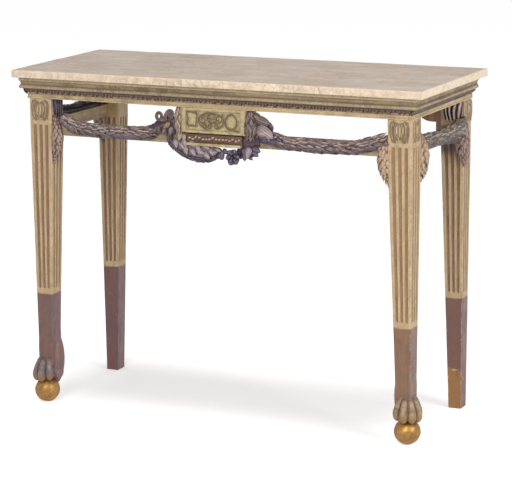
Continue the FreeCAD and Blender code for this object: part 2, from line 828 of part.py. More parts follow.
def build_drops(garlands, made_rails):
    """Hang a leaf drop below and a pleated ribbon above each garland end."""
    places = []
    for side in ("left", "right"):
        front_leg, back_leg = legs[(side, "front")], legs[(side, "back")]
        across = (garlands[f"garland_front_{side}"], made_rails["swag_rail_front"])
        along = (garlands[f"garland_{side}"], made_rails[f"swag_rail_{side}"])
        places += [(front_leg, inner_face(front_leg), across, f"front_{side}"),
                   (front_leg, "back", along, f"{side}_fore"), (back_leg, "front", along, f"{side}_aft")]
    for leg, facing, (garland, rail), name in places:
        face = leg.face_middle(facing, frame_top)
        middle = fascia_bottom - size.drop_fall - size.drop_length / 2
        if facing in ("left", "right"):
            at = vec(face.x, front_y + size.drop_inset, middle)
        else:
            at = vec(leg.side * (leg_x - size.drop_inset), face.y, middle)
        dome = half_dome("drop_width", "drop_length", "drop_depth", (at.x, at.y, at.z), facing)
        room = 2 * size.drop_depth
        hidden_corner = vec(at.x - room, at.y - room, swag_rail_top)
        hidden_top = feature(Part.makeBox(2 * room, 2 * room, room, hidden_corner))
        node(cut(dome, [garland, rail, hidden_top]), f"drop_{name}")
        node(cut(pleated_ribbon(facing, vec(face.x, face.y, 0)), [garland]), f"ribbon_{name}")


def pleated_ribbon(facing, at):
    """Return a hanging ribbon: a thin back with round pleats in front of it."""
    normal = vec(*FACE_NORMALS[facing], 0)
    along = vec(abs(normal.y), abs(normal.x), 0)
    half = along * (size.ribbon_width / 2)
    far = normal * size.ribbon_thick
    corners = [at - half, at + half, at + half + far, at - half + far]
    bottom = fascia_bottom - size.ribbon_height
    plan = [(point.x, point.y) for point in corners]
    parts = [feature(polygon_prism(plan, bottom, size.ribbon_height))]
    pitch = (size.ribbon_width - size.pleat_diameter) / (len(PLEAT_PLACES) - 1)
    for place in PLEAT_PLACES:
        middle = at + along * (place * pitch) + far
        pleat = {"Radius": "pleat_diameter / 2", "Height": "ribbon_height"}
        parts.append(primitive("Part::Cylinder", pleat, (middle.x, middle.y, bottom)))
    return fuse(parts)


def build_paterae():
    """Set a carved oval in each sunk panel of the front legs."""
    for side in ("left", "right"):
        leg = legs[(side, "front")]
        for facing, word in (("front", "front"), (outer_face(leg), "side")):
            at = leg.face_middle(facing, panel_middle()) - vec(*FACE_NORMALS[facing], 0) * size.panel_depth
            dome = half_dome("patera_width", "patera_height", "patera_relief", (at.x, at.y, at.z), facing)
            node(dome, f"patera_{side}_{word}")


def ellipsoid_sizes(height, length, width):
    """Return the half sizes of a whole ellipsoid by its three full sizes."""
    return {"Radius1": f"{height} / 2", "Radius2": f"{length} / 2", "Radius3": f"{width} / 2"}


def build_feet():
    """Shape the two paw feet, the balls under them and the dowels that hold both to the shanks."""
    for side in ("left", "right"):
        leg = legs[(side, "front")]
        outward, centre = diagonal(leg.side), foot_centre(leg)
        heading = math.degrees(math.atan2(outward.y, outward.x))
        seat = size.ball_diameter / 2 - size.ball_flat
        ball = primitive("Part::Sphere", {"Radius": "ball_diameter / 2"}, (centre.x, centre.y, seat))
        ball.Angle1 = -math.degrees(math.asin(seat / (size.ball_diameter / 2)))
        hollow_size = {"Radius": "ball_diameter / 2 + paw_gap"}
        hollow = primitive("Part::Sphere", hollow_size, (centre.x, centre.y, seat))
        instep = ellipsoid_sizes("instep_height", "instep_length", "instep_width")
        parts = [primitive("Part::Ellipsoid", instep, (centre.x, centre.y, size.instep_middle), heading)]
        heel = ellipsoid_sizes("heel_height", "heel_length", "heel_width")
        at = centre - outward * size.heel_offset
        parts.append(primitive("Part::Ellipsoid", heel, (at.x, at.y, size.heel_middle), heading))
        toe = ellipsoid_sizes("toe_height", "toe_length", "toe_breadth")
        for angle in TOE_ANGLES:
            turn = math.radians(heading + angle)
            at = centre + vec(math.cos(turn), math.sin(turn), 0) * (size.toe_circle / 2)
            parts.append(primitive("Part::Ellipsoid", toe, (at.x, at.y, size.toe_middle), heading + angle))
        dowel = dowels[(side, "front")]
        node(cut(fuse(parts), [hollow, feature(leg.blank()), dowel]), f"paw_{side}")
        node(cut(ball, [dowel]), f"ball_foot_{side}")
    node(group(list(dowels.values())), "foot_dowels")


def build_bracket():
    """Shape the bracket under the back rail beside the right back leg, with a rounded lower corner."""
    body = doc.addObject("PartDesign::Body", "bracket")
    sketch = sketch_on(body, "XZ_Plane", "bracket_outline")
    left, stem = -size.bracket_length, -size.bracket_stem
    arm_bottom, stem_bottom = -size.bracket_drop, -size.bracket_stem_drop
    corners = [vec(0, 0, 0), vec(left, 0, 0), vec(left, arm_bottom, 0), vec(stem, arm_bottom, 0),
               vec(stem, stem_bottom, 0), vec(0, stem_bottom, 0)]
    lines = outline_sketch(sketch, corners)
    for index, line in enumerate(lines):
        sketch.addConstraint(Sketcher.Constraint("Vertical" if index % 2 else "Horizontal", line))
    sketch.addConstraint(Sketcher.Constraint("Coincident", lines[0], 1, -1, 1))
    named(sketch, Sketcher.Constraint("DistanceX", lines[0], 2, lines[0], 1, size.bracket_length),
          "arm", "bracket_length")
    named(sketch, Sketcher.Constraint("DistanceY", lines[1], 2, lines[1], 1, size.bracket_drop),
          "fall", "bracket_drop")
    named(sketch, Sketcher.Constraint("DistanceX", lines[4], 1, lines[4], 2, size.bracket_stem),
          "stem", "bracket_stem")
    named(sketch, Sketcher.Constraint("DistanceY", lines[5], 1, lines[5], 2, size.bracket_stem_drop),
          "reach", "bracket_stem_drop")
    solid = pad(body, sketch, "bracket_thick")
    corner = [f"Edge{index}" for index, edge in enumerate(solid.Shape.Edges, start=1)
              if edge.BoundBox.XMax < left / 2 and edge.BoundBox.ZMax < arm_bottom / 2]
    rounding = body.newObject("PartDesign::Fillet", "rounding")
    rounding.Base = (solid, corner)
    rounding.setExpression("Radius", bound("bracket_round"))
    body.Tip = rounding
    body.Placement.Base = vec(inner_x, back_y, fascia_bottom)
    node(body, "back_bracket")


def main():
    """Build every piece, check it and write it to its own file."""
    build_top()
    build_legs()
    made_rails = build_rails()
    build_mouldings()
    bunches, festoon = build_bunches(*build_tablet())
    build_drops(build_garlands(bunches, festoon), made_rails)
    build_paterae()
    build_feet()
    build_bracket()
    doc.recompute()
    bad = [obj.Label for obj in doc.Objects if "Invalid" in obj.State or "Error" in obj.State]
    bad += [obj.Label for obj in nodes if obj.Shape.isNull() or not obj.Shape.isValid()]
    if bad:
        raise RuntimeError("not sound: " + ", ".join(bad))
    os.makedirs("parts", exist_ok=True)
    for obj in nodes:
        obj.Shape.exportStep(f"parts/{obj.Label}.step")
        print(f"{obj.Label}: {len(obj.Shape.Solids)} solid, {obj.Shape.Volume / 1000:.1f} cm3")


main()
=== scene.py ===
"""Looks of a pier table: marble, worn cream paint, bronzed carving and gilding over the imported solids."""

import logging
import math
from collections.abc import Sequence
from dataclasses import dataclass, field
from enum import Enum

import bmesh
import bpy
import numpy as np
from mathutils import Matrix, Quaternion, Vector

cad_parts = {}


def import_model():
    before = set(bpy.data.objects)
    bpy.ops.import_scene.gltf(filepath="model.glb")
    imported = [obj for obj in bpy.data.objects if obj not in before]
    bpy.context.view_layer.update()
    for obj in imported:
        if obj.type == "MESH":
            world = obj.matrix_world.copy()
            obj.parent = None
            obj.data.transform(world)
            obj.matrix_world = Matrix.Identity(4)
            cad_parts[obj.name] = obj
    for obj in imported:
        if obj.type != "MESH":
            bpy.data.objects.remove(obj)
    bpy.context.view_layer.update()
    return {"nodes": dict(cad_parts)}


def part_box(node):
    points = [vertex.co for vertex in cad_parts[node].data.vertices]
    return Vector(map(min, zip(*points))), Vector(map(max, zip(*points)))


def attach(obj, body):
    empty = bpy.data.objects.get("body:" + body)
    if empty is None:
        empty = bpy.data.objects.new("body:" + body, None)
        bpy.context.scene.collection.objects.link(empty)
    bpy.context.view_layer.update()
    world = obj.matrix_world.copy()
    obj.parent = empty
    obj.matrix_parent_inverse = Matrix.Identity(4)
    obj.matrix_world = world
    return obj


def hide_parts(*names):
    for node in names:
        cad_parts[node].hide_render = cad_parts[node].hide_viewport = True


LOG = logging.getLogger("pier_table")
HOLLOW = -0.9
TOE_SLICE = 0.002
WHITE = (1.0, 1.0, 1.0, 1.0)
LEG_TINTS = {"leg_front_left": 0.4, "leg_front_right": 0.0, "leg_back_left": 1.0, "leg_back_right": 0.75}

Colour = tuple[float, float, float]
Faces = list[tuple[int, ...]]
Plan = tuple[float, float]
Spot = tuple[float, ...]
Piece = bpy.types.Object
Socket = bpy.types.NodeSocket
Outputs = bpy.types.bpy_prop_collection
Material = bpy.types.Material
Array = np.ndarray
Stretch = tuple[float, float, float]
Feed = Socket | bpy.types.ID | Sequence[float] | float | int | str


class Slot(Enum):
    """Material slots of the record, passed along with each new piece."""

    MARBLE = "marble"
    PAINT = "cream_paint"
    CARVING = "bronzed_carving"
    GILDING = "gilding"


class Body(Enum):
    """Bodies that a piece can ride on."""

    FRAME = "frame"
    TOP = "top"


class Side(Enum):
    """Sides of the table, each with its outward direction in plan."""

    FRONT = (0.0, -1.0)
    RIGHT = (1.0, 0.0)
    BACK = (0.0, 1.0)
    LEFT = (-1.0, 0.0)

    @property
    def outward(self) -> Array:
        """Direction that the side faces."""
        return np.array([*self.value, 0.0])

    @property
    def across(self) -> Array:
        """Level direction to the right of someone who looks at the side."""
        return np.array([-self.value[1], self.value[0], 0.0])


def srgb(red: int, green: int, blue: int) -> Colour:
    """Turn a colour as a screen shows it into linear light.

    Args:
        red, green, blue: Shares of 255.

    Returns:
        The colour in linear light.
    """
    def linear(level: int) -> float:
        """Undo the screen's curve for one channel."""
        share = level / 255
        return share / 12.92 if share <= 0.04045 else ((share + 0.055) / 1.055) ** 2.4

    return linear(red), linear(green), linear(blue)


@dataclass(frozen=True)
class Ripple:
    """Smooth unevenness of a surface that was worked by hand."""

    wavelength: float
    seed: int
    waves: int = 14

    def at(self, places: Array) -> Array:
        """Give the unevenness at some places, mostly between -1 and 1.

        Args:
            places: Points in metres, in the last axis.

        Returns:
            One value for each point.
        """
        chance = np.random.default_rng(self.seed)
        ways = chance.normal(size=(self.waves, 3))
        ways /= np.linalg.norm(ways, axis=1, keepdims=True)
        ways /= self.wavelength * chance.uniform(0.6, 1.8, self.waves)[:, None]
        turns = places @ ways.T * math.tau + chance.uniform(0, math.tau, self.waves)
        return np.sin(turns).sum(axis=-1) / math.sqrt(self.waves)


def store(mesh: bpy.types.Mesh, label: str, amounts: Array) -> None:
    """Store one value on each point of a mesh.

    Args:
        mesh: The mesh.
        label: Attribute name.
        amounts: The values.
    """
    layer = mesh.attributes.get(label) or mesh.attributes.new(name=label, type="FLOAT", domain="POINT")
    layer.data.foreach_set("value", np.asarray(amounts, np.float32).ravel())


def linked(name: str, data: bpy.types.ID) -> Piece:
    """Make an object from its data and link it to the scene.

    Args:
        name: Name of the object.
        data: Its mesh, camera or lamp.

    Returns:
        The object.
    """
    piece = bpy.data.objects.new(name, data)
    bpy.context.scene.collection.objects.link(piece)
    return piece


def settle(piece: Piece) -> None:
    """Apply a piece's modifiers and keep the result as a plain mesh.

    Args:
        piece: The piece.
    """
    raw = piece.data
    made = bpy.data.meshes.new_from_object(piece.evaluated_get(bpy.context.evaluated_depsgraph_get()))
    piece.modifiers.clear()
    piece.data = made
    bpy.data.meshes.remove(raw)
    made.name = piece.name


def node_points(node: str) -> Array:
    """Give the points of a CAD node in metres."""
    return np.array([vertex.co[:] for vertex in bpy.data.objects[node].data.vertices])


def seat(box: tuple[Vector, Vector], side: Side) -> tuple[Array, float, float]:
    """Measure a box as seen from one side.

    Args:
        box: Lowest and highest corners.
        side: Side that it's seen from.

    Returns:
        The middle of its back, its half width and its depth.
    """
    low, high = (np.array(corner) for corner in box)
    deep = float(np.abs((high - low) @ np.abs(side.outward)))
    half = float(np.abs((high - low) @ np.abs(side.across))) / 2
    return (low + high) / 2 - side.outward * deep / 2, half, deep


def ball_grid(rows: int, columns: int, pole: float) -> Array:
    """Give rows of directions round a ball, from its top down.

    Args:
        rows: Rows of directions.
        columns: Directions in a row.
        pole: Angle from the top to the first row.

    Returns:
        Directions of length 1.
    """
    tilts, turns = np.linspace(pole, math.pi - pole, rows), np.linspace(0, math.tau, columns, endpoint=False)
    tilt, turn = np.meshgrid(tilts, turns, indexing="ij")
    return np.stack([np.sin(tilt) * np.cos(turn), np.sin(tilt) * np.sin(turn), np.cos(tilt)], axis=-1)


def new_piece(name: str, places: Array, faces: Faces, values: dict[str, Array] | None = None,
              crease: float = 42.0) -> Piece:
    """Make a mesh object with its normals outward.

    Args:
        name: Name of the piece.
        places: Points in the frame, in metres.
        faces: Point numbers of each face.
        values: Values to store on the points, by attribute name.
        crease: Angle in degrees past which an edge is sharp.

    Returns:
        The new object, linked to the scene.
    """
    mesh = bpy.data.meshes.new(name)
    mesh.from_pydata(np.asarray(places, float).reshape(-1, 3).tolist(), [], faces)
    shell = bmesh.new()
    shell.from_mesh(mesh)
    bmesh.ops.recalc_face_normals(shell, faces=shell.faces)
    shell.to_mesh(mesh)
    shell.free()
    for label, amounts in (values or {}).items():
        store(mesh, label, amounts)
    mesh.shade_smooth()
    mesh.set_sharp_from_angle(angle=math.radians(crease))
    return linked(name, mesh)


def hand_over(piece: Piece, material: Material, slot: Slot, *nodes: str, body: Body = Body.FRAME) -> None:
    """Give a finished piece its material and its body, and hide the CAD nodes that it replaces.

    Args:
        piece: The finished piece.
        material: Its material.
        slot: The record's slot that the material belongs to; not used.
        nodes: CAD nodes that the piece replaces.
        body: Body that the piece rides on.
    """
    piece.data.materials.clear()
    piece.data.materials.append(material)
    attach(piece, body.value)
    if nodes:
        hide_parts(*nodes)
    LOG.info("%s: %d faces, for %s", piece.name, len(piece.data.polygons), ", ".join(nodes))


def drop_piece(piece: Piece) -> None:
    """Remove a helper object and its mesh.

    Args:
        piece: The helper.
    """
    mesh = piece.data
    bpy.data.objects.remove(piece)
    bpy.data.meshes.remove(mesh)


def grid_faces(rows: int, columns: int, wrap: bool = False) -> Faces:
    """Number the faces of a grid of points.

    Args:
        rows: Rows of points.
        columns: Points in a row.
        wrap: Whether the last column joins the first.

    Returns:
        Four point numbers for each face.
    """
    last = columns if wrap else columns - 1
    return [(row * columns + column, row * columns + (column + 1) % columns,
             (row + 1) * columns + (column + 1) % columns, (row + 1) * columns + column)
            for row in range(rows - 1) for column in range(last)]


def skin_faces(rings: int, size: int) -> Faces:
    """Number the faces of a closed skin through rings of points, with both ends shut."""
    ends = [tuple(range(size)), tuple(range((rings - 1) * size, rings * size))]
    return grid_faces(rings, size, wrap=True) + ends


def plate_faces(rows: int, columns: int) -> Faces:
    """Number the faces of a closed plate: a front grid of points, then the same grid at the back.

    Args:
        rows: Rows of points.
        columns: Points in a row.

    Returns:
        Point numbers of each face.
    """
    count = rows * columns
    front = grid_faces(rows, columns)
    back = [tuple(point + count for point in reversed(face)) for face in front]
    rim = list(range(columns)) + [row * columns + columns - 1 for row in range(1, rows)]
    rim += [(rows - 1) * columns + column for column in range(columns - 2, -1, -1)]
    rim += [row * columns for row in range(rows - 2, 0, -1)]
    pairs = zip(rim, rim[1:] + rim[:1])
    return front + back + [(one, two, two + count, one + count) for one, two in pairs]


def store_relief(piece: Piece, reach: float, rounds: int) -> None:
    """Store how far each point stands out of the surface round it, from -1 to 1, as relief.

    Args:
        piece: The carved piece.
        reach: Distance that counts as full relief.
        rounds: How often the surface is smoothed for comparison.
    """
    mesh = piece.data
    count = len(mesh.vertices)
    places = np.empty(count * 3)
    mesh.vertices.foreach_get("co", places)
    places = places.reshape(-1, 3)
    normals = np.empty(count * 3)
    mesh.vertex_normals.foreach_get("vector", normals)
    edges = np.empty(len(mesh.edges) * 2, np.int64)
    mesh.edges.foreach_get("vertices", edges)
    first, second = edges.reshape(-1, 2).T
    touching = np.bincount(first, minlength=count) + np.bincount(second, minlength=count)
    shares = np.maximum(touching, 1)[:, None]
    smooth = places.copy()
    for _ in range(rounds):
        total = np.zeros_like(smooth)
        np.add.at(total, first, smooth[second])
        np.add.at(total, second, smooth[first])
        smooth = total / shares
    stand = ((places - smooth) * normals.reshape(-1, 3)).sum(axis=1) / reach
    store(mesh, "relief", np.clip(stand, -1, 1))


def empty_tree(data: Material | bpy.types.World) -> bpy.types.NodeTree:
    """Give a material or world an empty node tree.

    Args:
        data: The material or world.

    Returns:
        Its tree.
    """
    data.use_nodes = True
    data.node_tree.nodes.clear()
    return data.node_tree


class NodeGraph:
    """Adds and links the nodes of a tree."""

    def __init__(self, tree: bpy.types.NodeTree) -> None:
        """Keep the tree that the nodes go in."""
        self.tree = tree

    def feed(self, socket: Socket, value: Feed) -> None:
        """Link a socket to another, or set its own value.

        Args:
            socket: Socket to feed.
            value: Socket to link from, or a value.
        """
        if isinstance(value, bpy.types.NodeSocket):
            self.tree.links.new(value, socket)
        else:
            socket.default_value = value

    def add(self, kind: str, inputs: dict[str | int, Feed] | None = None, **settings: object) -> bpy.types.Node:
        """Add a node.

        Args:
            kind: Blender's name of the node type.
            inputs: Values or sockets for its inputs, by name or number.
            settings: The node's own properties.

        Returns:
            The new node.
        """
        node = self.tree.nodes.new(kind)
        for key, setting in settings.items():
            setattr(node, key, setting)
        for key, value in (inputs or {}).items():
            self.feed(node.inputs[key], value)
        return node

    def out(self, kind: str, inputs: dict[str | int, Feed] | None = None, **settings: object) -> Socket:
        """Add a node and return its first output."""
        return self.add(kind, inputs, **settings).outputs[0]

    def math(self, operation: str, first: Feed, second: Feed = 0.0) -> Socket:
        """Work out one number from two."""
        return self.out("ShaderNodeMath", {0: first, 1: second}, operation=operation)

    def times(self, first: Feed, second: Feed) -> Socket:
        """Multiply two numbers."""
        return self.math("MULTIPLY", first, second)

    def vector(self, operation: str, first: Feed, second: Feed = (0.0, 0.0, 0.0)) -> Socket:
        """Work out a vector from two."""
        return self.out("ShaderNodeVectorMath", {0: first, 1: second}, operation=operation)

    def scaled(self, first: Feed, factor: Feed) -> Socket:
        """Multiply a vector by a number."""
        return self.out("ShaderNodeVectorMath", {0: first, "Scale": factor}, operation="SCALE")

    def part(self, vector: Socket, axis: int) -> Socket:
        """Give one of a vector's three numbers."""
        return self.add("ShaderNodeSeparateXYZ", {0: vector}).outputs[axis]

    def span(self, value: Feed, low: Feed, high: Feed, start: Feed = 0.0, end: Feed = 1.0) -> Socket:
        """Map a range of values smoothly onto another, held at its ends."""
        inputs = {0: value, 1: low, 2: high, 3: start, 4: end}
        return self.out("ShaderNodeMapRange", inputs, interpolation_type="SMOOTHSTEP")

    def ease(self, share: Feed, start: Feed, end: Feed) -> Socket:
        """Map a share of 0 to 1 smoothly onto a range."""
        return self.span(share, 0.0, 1.0, start, end)


class GeometryTree(NodeGraph):
    """A Geometry Nodes tree with named inputs, run on helper meshes and turned into plain ones."""

    def __init__(self, name: str, sockets: dict[str, str]) -> None:
        """Start a tree.

        Args:
            name: Name of the tree.
            sockets: Socket type of each input after the geometry, by name.
        """
        super().__init__(bpy.data.node_groups.new(name, "GeometryNodeTree"))
        face = self.tree.interface
        face.new_socket("Geometry", in_out="INPUT", socket_type="NodeSocketGeometry")
        self.keys = {}
        for label, kind in sockets.items():
            self.keys[label] = face.new_socket(label, in_out="INPUT", socket_type=f"NodeSocket{kind}").identifier
        face.new_socket("Geometry", in_out="OUTPUT", socket_type="NodeSocketGeometry")
        self.given = self.add("NodeGroupInput").outputs

    def line(self) -> Socket:
        """Turn the given mesh into a curve."""
        return self.out("GeometryNodeMeshToCurve", {"Mesh": self.given["Geometry"]})

    def rope(self) -> Socket:
        """Turn the given mesh into a curve with the stored radius."""
        named = self.out("GeometryNodeInputNamedAttribute", {"Name": "rope_radius"}, data_type="FLOAT")
        return self.out("GeometryNodeSetCurveRadius", {"Curve": self.line(), "Radius": named})

    def spots(self, line: Socket) -> Outputs:
        """Give points along a curve, one Step apart."""
        inputs = {"Curve": line, "Length": self.given["Step"]}
        return self.add("GeometryNodeCurveToPoints", inputs, mode="LENGTH").outputs

    def chance(self, low: Feed, high: Feed, shift: int) -> Socket:
        """Give a random number for each element, from the tree's Seed input.

        Args:
            low: Lowest number.
            high: Highest number.
            shift: Added to the seed, so that each use draws its own numbers.

        Returns:
            The number.
        """
        seed = self.math("ADD", self.given["Seed"], float(shift))
        node = self.add("FunctionNodeRandomValue", data_type="FLOAT")
        for identifier, value in (("Min_001", low), ("Max_001", high), ("Seed", seed)):
            self.feed(next(socket for socket in node.inputs if socket.identifier == identifier), value)
        return next(socket for socket in node.outputs if socket.identifier == "Value_001")

    def turned(self, along: Feed, outward: Feed, shift: int) -> Socket:
        """Turn each leaf with its length one way and its face another, and twist it by chance.

        Args:
            along: Way of its length.
            outward: Way of its face.
            shift: Shift of the seed of the twist.

        Returns:
            The turn.
        """
        facing = self.out("FunctionNodeAxesToRotation", {0: along, 1: outward}, primary_axis="X", secondary_axis="Z")
        swing = self.times(self.given["Twist"], self.chance(-1.0, 1.0, shift))
        turn = self.out("FunctionNodeAxisAngleToRotation", {"Axis": (0.0, 0.0, 1.0), "Angle": swing})
        return self.out("FunctionNodeRotateRotation", {0: facing, 1: turn}, rotation_space="LOCAL")

    def planted(self, spots: Socket, turn: Socket, size: Sequence[Feed]) -> Socket:
        """Set a leaf on each point.

        Args:
            spots: The points.
            turn: Turn of each leaf.
            size: Size of each leaf along, across and up.

        Returns:
            The leaves.
        """
        leaf = self.add("GeometryNodeObjectInfo", {"Object": self.given["Leaf"]}).outputs["Geometry"]
        inputs = {"Points": spots, "Instance": leaf, "Rotation": turn,
                  "Scale": self.out("ShaderNodeCombineXYZ", dict(enumerate(size)))}
        return self.out("GeometryNodeInstanceOnPoints", inputs)

    def marked(self, geometry: Socket, relief: Feed) -> Socket:
        """Store a relief on the points of a geometry."""
        inputs = {"Geometry": geometry, "Name": "relief", "Value": relief}
        return self.out("GeometryNodeStoreNamedAttribute", inputs, data_type="FLOAT", domain="POINT")

    def swept(self, line: Socket, outline: Socket, radius: Socket) -> Socket:
        """Sweep an outline along a curve, scaled by the radius."""
        inputs = {"Curve": line, "Profile Curve": outline, "Scale": radius, "Fill Caps": True}
        return self.out("GeometryNodeCurveToMesh", inputs)

    def close(self, *parts: Socket) -> "GeometryTree":
        """Join the parts, realize them, set the material and end the tree.

        Args:
            parts: Geometries to join.

        Returns:
            The tree itself.
        """
        join = self.add("GeometryNodeJoinGeometry")
        for part in parts:
            self.tree.links.new(part, join.inputs[0])
        real = self.out("GeometryNodeRealizeInstances", {"Geometry": join.outputs[0]})
        smooth = self.out("GeometryNodeSetShadeSmooth", {"Geometry": real})
        painted = self.out("GeometryNodeSetMaterial", {"Geometry": smooth, "Material": self.given["Material"]})
        self.add("NodeGroupOutput", {0: painted})
        return self

    def run(self, name: str, path: "Path", **values: Feed) -> Piece:
        """Run the tree along a path and keep the result as a plain mesh.

        Args:
            name: Name of the piece.
            path: Line that the piece follows.
            values: Inputs of the tree, with underscores for blanks.

        Returns:
            The new piece.
        """
        mesh = bpy.data.meshes.new(name)
        count = len(path.places)
        mesh.from_pydata(path.places.tolist(), [(step, step + 1) for step in range(count - 1)], [])
        store(mesh, "rope_radius", np.broadcast_to(path.radii, count))
        piece = linked(name, mesh)
        modifier = piece.modifiers.new(self.tree.name, "NODES")
        modifier.node_group = self.tree
        for label, value in values.items():
            modifier[self.keys[label.replace("_", " ")]] = value
        settle(piece)
        return piece


@dataclass(frozen=True)
class Path:
    """Line of points with a radius at each."""

    places: Array
    radii: Array | float

    @classmethod
    def through(cls, stops: Sequence[Sequence[float]], radii: Sequence[float] | float, steps: int = 12) -> "Path":
        """Draw a smooth line through some points.

        Args:
            stops: Points that the line goes through.
            radii: Radius at each point, or one for all.
            steps: Points between two stops.

        Returns:
            The line.
        """
        fixed = np.asarray(stops, float)
        wide = np.broadcast_to(np.asarray(radii, float), len(fixed))
        rows = np.column_stack([fixed, wide])
        ends = np.vstack([2 * rows[0] - rows[1], rows, 2 * rows[-1] - rows[-2]])
        line = []
        for index in range(1, len(ends) - 2):
            before, start, stop, after = ends[index - 1:index + 3]
            share = np.linspace(0, 1, steps, endpoint=False)[:, None]
            line.append(0.5 * (2 * start + (stop - before) * share
                               + (2 * before - 5 * start + 4 * stop - after) * share ** 2
                               + (3 * start - before - 3 * stop + after) * share ** 3))
        line = np.vstack([*line, rows[-1:]])
        return cls(line[:, :3], line[:, 3])


def leaf_rope_tree() -> GeometryTree:
    """Build the tree that lays overlapping leaves round a core along a line.

    Returns:
        The tree, with named inputs for the leaf, the step along the line, the leaves in a round and their lean.
    """
    tree = GeometryTree("leaf_rope", {
        "Leaf": "Object", "Step": "Float", "Rows": "Int", "Arc": "Float", "Front": "Vector", "Depth": "Float",
        "Lean": "Float", "Twist": "Float", "Smallest": "Float", "Full Radius": "Float", "Core": "Float",
        "Seed": "Int", "Material": "Material"})
    given = tree.given
    line = tree.rope()
    spots = tree.spots(line)
    tangent = spots["Tangent"]
    inputs = {"Geometry": spots["Points"], "Amount": given["Rows"]}
    copies = tree.add("GeometryNodeDuplicateElements", inputs, domain="POINT").outputs
    ring = tree.math("FLOOR", tree.math("DIVIDE", tree.out("GeometryNodeInputIndex"), given["Rows"]))
    half = tree.times(tree.math("MODULO", ring, 2.0), 0.5)
    order = tree.math("ADD", tree.math("ADD", copies["Duplicate Index"], half), tree.chance(0.05, 0.45, 1))
    share = tree.math("SUBTRACT", tree.math("DIVIDE", order, given["Rows"]), 0.5)
    angle = tree.times(share, given["Arc"])
    beside = tree.vector("NORMALIZE", tree.vector("CROSS_PRODUCT", tangent, given["Front"]))
    ahead = tree.scaled(given["Front"], tree.math("COSINE", angle))
    aside = tree.scaled(beside, tree.math("SINE", angle))
    outward = tree.vector("ADD", ahead, aside)
    radius = tree.out("GeometryNodeInputRadius")
    offset = tree.scaled(tree.vector("ADD", tree.scaled(ahead, given["Depth"]), aside), radius)
    moved = tree.out("GeometryNodeSetPosition", {"Geometry": copies["Geometry"], "Offset": offset})
    lean = tree.times(given["Lean"], tree.chance(0.7, 1.3, 2))
    along = tree.vector("ADD", tree.scaled(tangent, tree.math("COSINE", lean)),
                        tree.scaled(outward, tree.math("SINE", lean)))
    grown = tree.math("MAXIMUM", tree.math("DIVIDE", radius, given["Full Radius"]), given["Smallest"])
    grown = tree.times(grown, tree.chance(0.82, 1.15, 4))
    leaves = tree.planted(moved, tree.turned(along, outward, 3), (grown, grown, grown))
    outline = tree.out("GeometryNodeCurvePrimitiveCircle", {"Resolution": 12, "Radius": given["Core"]})
    return tree.close(leaves, tree.marked(tree.swept(line, outline, radius), HOLLOW))


def leaf_row_tree() -> GeometryTree:
    """Build the tree that sets a row of leaves on a ground along a line.

    Returns:
        The tree, with named inputs for the leaf, the ground, the step and the way the leaves point.
    """
    tree = GeometryTree("leaf_row", {
        "Leaf": "Object", "Ground": "Object", "Step": "Float", "Along": "Vector", "Outward": "Vector",
        "Twist": "Float", "Lowest": "Float", "Highest": "Float", "Seed": "Int", "Material": "Material"})
    given = tree.given
    grown = tree.chance(given["Lowest"], given["Highest"], 2)
    turn = tree.turned(given["Along"], given["Outward"], 1)
    leaves = tree.planted(tree.spots(tree.line())["Points"], turn, (grown, 1.0, grown))
    ground = tree.add("GeometryNodeObjectInfo", {"Object": given["Ground"]}).outputs["Geometry"]
    return tree.close(leaves, ground)


def band_tree() -> GeometryTree:
    """Build the tree that lays a flat carved ribbon along a line.

    Returns:
        The tree, with named inputs for the ribbon's width, thickness and the way it faces.
    """
    tree = GeometryTree("ribbon_band", {"Width": "Float", "Thickness": "Float", "Facing": "Vector",
                                        "Material": "Material"})
    given = tree.given
    line = tree.out("GeometryNodeSetCurveNormal", {"Curve": tree.rope(), "Normal": given["Facing"]}, mode="FREE")
    place = tree.out("GeometryNodeInputPosition")
    across = tree.math("ABSOLUTE", tree.part(place, 1))
    ring = tree.out("GeometryNodeCurvePrimitiveCircle", {"Resolution": 16, "Radius": 0.5})
    ring = tree.marked(ring, tree.span(across, 0.28, 0.46, -0.35, 1.0))
    hollow = tree.times(tree.span(across, 0.0, 0.4), 0.5)
    depth = tree.times(given["Thickness"], tree.math("ADD", 0.6, hollow))
    size = tree.out("ShaderNodeCombineXYZ", {0: depth, 1: given["Width"], 2: 1.0})
    ring = tree.out("GeometryNodeSetPosition", {"Geometry": ring, "Position": tree.vector("MULTIPLY", place, size)})
    return tree.close(tree.swept(line, ring, tree.out("GeometryNodeInputRadius")))


